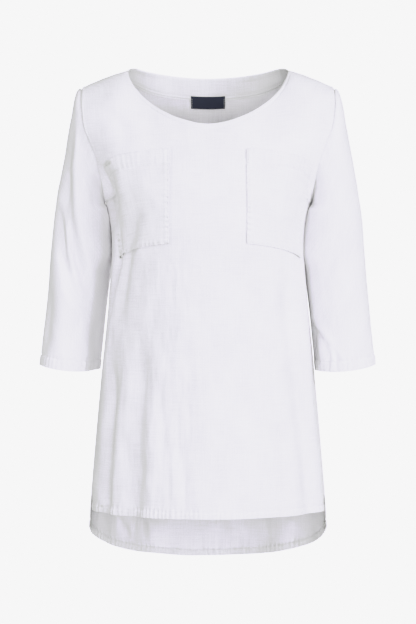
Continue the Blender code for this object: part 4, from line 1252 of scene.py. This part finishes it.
# ---- sizes and colours that a user would change
class TunicCloth(bpy.types.PropertyGroup):
    wall: bpy.props.FloatProperty(
        name="Cloth thickness", description="Thickness of the linen", default=0.5 * MM, unit="LENGTH"
    )
    stitch_pitch: bpy.props.FloatProperty(
        name="Stitch pitch", description="From one stitch to the next", default=3.2 * MM, unit="LENGTH"
    )
    stitch_length: bpy.props.FloatProperty(
        name="Stitch length", description="Length of thread that shows in a stitch", default=2.4 * MM, unit="LENGTH"
    )
    linen_colour: bpy.props.FloatVectorProperty(
        name="Linen", description="Colour of the linen", default=linear("#EAE8ED"), subtype="COLOR", min=0.0, max=1.0
    )
    thread_colour: bpy.props.FloatVectorProperty(
        name="Thread", description="Colour of thread", default=linear("#EDEBF0"), subtype="COLOR", min=0.0, max=1.0
    )
    label_colour: bpy.props.FloatVectorProperty(
        name="Label", description="Colour of the label", default=linear("#2A2D3E"), subtype="COLOR", min=0.0, max=1.0
    )


class TunicStudio(bpy.types.PropertyGroup):
    paper_colour: bpy.props.FloatVectorProperty(
        name="Paper", description="Colour of floor and backdrop", default=linear("#F6F6F6"), subtype="COLOR"
    )
    ambient: bpy.props.FloatProperty(name="Ambient light", description="Light from all round", default=0.31)
    front_power: bpy.props.FloatProperty(
        name="Front light", description="Power of the light below the camera", default=100.0, unit="POWER"
    )
    key_power: bpy.props.FloatProperty(
        name="Key light", description="Power of the light at the right", default=56.0, unit="POWER"
    )
    side_power: bpy.props.FloatProperty(
        name="Side light", description="Power of the light above at the left", default=15.0, unit="POWER"
    )
    back_power: bpy.props.FloatProperty(
        name="Back light", description="Power of the light that glows through the back", default=95.0, unit="POWER"
    )
    camera_distance: bpy.props.FloatProperty(
        name="Camera distance", description="From the camera to the tunic", default=3.2, unit="LENGTH"
    )
    camera_height: bpy.props.FloatProperty(
        name="Camera height", description="Height of the camera", default=-0.29, unit="LENGTH"
    )
    aim_height: bpy.props.FloatProperty(
        name="Aim height", description="Height that the camera points at", default=-0.3892, unit="LENGTH"
    )
    lens: bpy.props.FloatProperty(
        name="Lens", description="Focal length on a 36 mm frame", default=115.4, unit="CAMERA"
    )


# ---- pieces
class TUNIC_OT_front(bpy.types.Operator):
    """Cut and sew the front"""

    bl_idname = "tunic.front"
    bl_label = "Front"

    def execute(self, context):
        sheet, wall = panel_sheet(FRONT), context.scene.tunic_cloth.wall
        cloth = cut_cloth("front_cloth", "front_panel", sheet, washed_linen(), wall, notched=True)
        hem, vents = panel_lines(sheet)
        x, y = np.abs(sheet.points[NECK_ROW, :, 0]), sheet.points[NECK_ROW, :, 1]
        neck = stitch_line(sheet, NECK_ROW, np.flatnonzero((x < NECK_HALF_WIDTH + 2.0) & (y < -3.0)))
        stitches = add_stitches("front_stitches", [hem, neck, *vents])
        return {"FINISHED"}


class TUNIC_OT_back(bpy.types.Operator):
    """Cut and sew the back"""

    bl_idname = "tunic.back"
    bl_label = "Back"

    def execute(self, context):
        sheet, wall = panel_sheet(BACK), context.scene.tunic_cloth.wall
        cloth = cut_cloth("back_cloth", "back_panel", sheet, washed_linen(), wall, True, True)
        hem, vents = panel_lines(sheet)
        # the same row of stitches shows inside, through the turned hem
        inside = (hem[0] - hem[1] * (2.0 * TURN_RADIUS + 0.5), -hem[1])
        stitches = add_stitches("back_stitches", [hem, inside, *vents])
        return {"FINISHED"}


class TUNIC_OT_sleeves(bpy.types.Operator):
    """Cut and sew both sleeves"""

    bl_idname = "tunic.sleeves"
    bl_label = "Sleeves"

    def execute(self, context):
        wall = context.scene.tunic_cloth.wall
        for name, node, sleeve in (
            ("left_sleeve", "sleeve_left", LEFT_SLEEVE),
            ("right_sleeve", "sleeve_right", RIGHT_SLEEVE),
        ):
            sheet = sleeve_sheet(sleeve)
            cloth = cut_cloth(f"{name}_cloth", node, sheet, washed_linen(), wall, sleeve.side > 0)
            stitches = add_stitches(f"{name}_stitches", [stitch_line(sheet, CUFF_ROW)])
        return {"FINISHED"}


class TUNIC_OT_pockets(bpy.types.Operator):
    """Cut the two patch pockets and sew them on"""

    bl_idname = "tunic.pockets"
    bl_label = "Pockets"

    def execute(self, context):
        for name, side, node, seed in (
            ("left_pocket", 1.0, "pocket_left", 121),
            ("right_pocket", -1.0, "pocket_right", 151),
        ):
            sheet, wall = pocket_sheet(side, seed), SEWN_WALL * MM
            cloth = cut_cloth(f"{name}_cloth", node, sheet, washed_linen(), wall, side < 0, True)
            edge, mouth = EDGE_START + 1, EDGE_START + 7
            rows, columns = slice(edge, -TURNED - 4), slice(edge, -edge - 1)
            places = ((rows, edge), (rows, -1 - edge), (edge, columns), (-1 - mouth, columns))
            stitches = add_stitches(f"{name}_stitches", [stitch_line(sheet, *place) for place in places])
        return {"FINISHED"}


class TUNIC_OT_facing(bpy.types.Operator):
    """Cut the back neck facing and sew it in"""

    bl_idname = "tunic.facing"
    bl_label = "Neck facing"

    def execute(self, context):
        sheet, wall = facing_sheet(), SEWN_WALL * MM
        cloth = cut_cloth("neck_facing_cloth", "back_neck_facing", sheet, washed_linen(), wall)
        lines = [stitch_line(sheet, EDGE_START + line, slice(2, -2)) for line in (1, 5)]
        stitches = add_stitches("neck_facing_stitches", lines)
        return {"FINISHED"}


class TUNIC_OT_label(bpy.types.Operator):
    """Cut the plain neck label and sew it in"""

    bl_idname = "tunic.label"
    bl_label = "Neck label"

    def execute(self, context):
        sheet, wall = label_sheet(), LABEL_WALL * MM
        cloth = cut_cloth("neck_label_cloth", "neck_label", sheet, woven_label(), wall)
        lines = [stitch_line(sheet, slice(1, -1), column) for column in (EDGE_START + 1, -2 - EDGE_START)]
        stitches = add_stitches("neck_label_stitches", lines)
        return {"FINISHED"}


# ---- stage
# How the view shows light, as (light, shown) on linear scales: whites are held back as film does.
FILM_WHITE, FILM_TOP = 1.8, 0.9216
FILM_REDS = ((0.40, 0.40), (0.517, 0.528), (0.60, 0.616))  # a little warm in the whites
FILM_BLUES = ((0.30, 0.294), (0.35, 0.355), (0.417, 0.458), (0.517, 0.635), (0.60, 0.72))  # and cooler still
FILM_TONES = (
    (0.20, 0.255), (0.42, 0.550), (0.50, 0.610), (0.575, 0.662), (0.63, 0.708),
    (0.685, 0.752), (0.75, 0.788), (0.87, 0.830), (1.10, 0.866),
)
FLOOR_HEIGHT = -1.45
SWEEP_RADIUS = 14.0


def aim(thing, target):
    thing.rotation_euler = (Vector(target) - thing.location).to_track_quat("-Z", "Y").to_euler()


def soft_light(name, place, size, power):
    data = bpy.data.lights.new(name, "AREA")
    data.shape = "RECTANGLE"
    data.size, data.size_y = size
    data.energy = power
    light = bpy.data.objects.new(name, data)
    bpy.context.scene.collection.objects.link(light)
    light.location = place
    aim(light, (0.0, 0.0, -0.35))


def lit_paper():
    """Seamless paper, lit evenly until nothing shows on it: one pale tone from floor to backdrop."""
    colour = (*bpy.context.scene.tunic_studio.paper_colour, 1.0)
    strength = FILM_WHITE / FILM_TOP
    settings = (("Specular IOR Level", 0.0), ("Emission Color", colour), ("Emission Strength", strength))
    return new_material("seamless_paper", (0.0, 0.0, 0.0), (("Roughness", 1.0), *settings))[0]


def paper_sweep():
    """A dome of paper on its floor, seen from inside, that neither lights nor shades the tunic."""
    mesh = bmesh.new()
    bmesh.ops.create_icosphere(mesh, subdivisions=4, radius=SWEEP_RADIUS)
    bmesh.ops.bisect_plane(
        mesh,
        geom=mesh.verts[:] + mesh.edges[:] + mesh.faces[:],
        plane_co=(0.0, 0.0, FLOOR_HEIGHT),
        plane_no=(0.0, 0.0, -1.0),
        clear_outer=True,
    )
    bmesh.ops.contextual_create(mesh, geom=[edge for edge in mesh.edges if edge.is_boundary])
    bmesh.ops.recalc_face_normals(mesh, faces=mesh.faces[:])
    bmesh.ops.reverse_faces(mesh, faces=mesh.faces[:])
    sweep = finish_mesh("studio_sweep", mesh, lit_paper())
    for ray in ("diffuse", "glossy", "transmission", "shadow", "volume_scatter"):
        setattr(sweep, f"visible_{ray}", False)
    return sweep


class TUNIC_OT_stage(bpy.types.Operator):
    """Set up the floor, backdrop, light and camera"""

    bl_idname = "tunic.stage"
    bl_label = "Studio"

    def execute(self, context):
        scene, studio = context.scene, context.scene.tunic_studio
        paper_sweep()
        scene.world = bpy.data.worlds.new("studio_room")
        scene.world.use_nodes = True
        background = scene.world.node_tree.nodes["Background"]
        background.inputs["Color"].default_value = (1.0, 1.0, 1.0, 1.0)
        background.inputs["Strength"].default_value = studio.ambient
        soft_light("front_softbox", (0.0, -4.2, -0.5), (2.5, 1.5), studio.front_power)
        soft_light("key_softbox", (2.85, -2.0, 0.5), (1.5, 1.6), studio.key_power)
        soft_light("side_softbox", (-1.3, -1.5, 1.9), (1.6, 1.4), studio.side_power)
        soft_light("back_softbox", (0.0, 3.4, -0.4), (3.0, 2.0), studio.back_power)

        data = bpy.data.cameras.new("camera")
        data.sensor_width = 36.0
        data.lens = studio.lens
        camera = bpy.data.objects.new("camera", data)
        scene.collection.objects.link(camera)
        camera.location = (0.0, -studio.camera_distance, studio.camera_height)
        aim(camera, (0.0, 0.0, studio.aim_height))
        scene.camera = camera

        scene.view_settings.view_transform = "Standard"
        scene.view_settings.look = "None"
        scene.view_settings.use_curve_mapping = True
        film = scene.view_settings.curve_mapping
        film.white_level = (FILM_WHITE, FILM_WHITE, FILM_WHITE)
        tones = [(light / FILM_WHITE, shown) for light, shown in FILM_TONES]
        for index, points in ((3, tones), (0, FILM_REDS), (2, FILM_BLUES)):
            for point in points:
                film.curves[index].points.new(*point)
        film.curves[3].points[-1].location = (1.0, FILM_TOP)
        film.update()
        return {"FINISHED"}


class TUNIC_PT_sidebar(bpy.types.Panel):
    bl_label = "Linen tunic"
    bl_idname = "TUNIC_PT_sidebar"
    bl_space_type = "VIEW_3D"
    bl_region_type = "UI"
    bl_category = "Tunic"

    def draw(self, context):
        for group in (context.scene.tunic_cloth, context.scene.tunic_studio):
            box = self.layout.box()
            for name in group.__annotations__:
                box.prop(group, name)
        for operator in OPERATORS:
            self.layout.operator(operator.bl_idname)


GROUPS = (TunicCloth, TunicStudio)
PIECES = (TUNIC_OT_front, TUNIC_OT_back, TUNIC_OT_sleeves, TUNIC_OT_pockets, TUNIC_OT_facing, TUNIC_OT_label)
OPERATORS = (*PIECES, TUNIC_OT_stage)


def register():
    for item in (*GROUPS, *OPERATORS, TUNIC_PT_sidebar):
        bpy.utils.register_class(item)
    bpy.types.Scene.tunic_cloth = bpy.props.PointerProperty(type=TunicCloth)
    bpy.types.Scene.tunic_studio = bpy.props.PointerProperty(type=TunicStudio)


def unregister():
    del bpy.types.Scene.tunic_cloth
    del bpy.types.Scene.tunic_studio
    for item in reversed((*GROUPS, *OPERATORS, TUNIC_PT_sidebar)):
        bpy.utils.unregister_class(item)


def main():
    register()
    bpy.ops.tunic.front()
    bpy.ops.tunic.back()
    bpy.ops.tunic.sleeves()
    bpy.ops.tunic.pockets()
    bpy.ops.tunic.facing()
    bpy.ops.tunic.label()
    bpy.ops.tunic.stage()


if __name__ == "__main__":
    main()
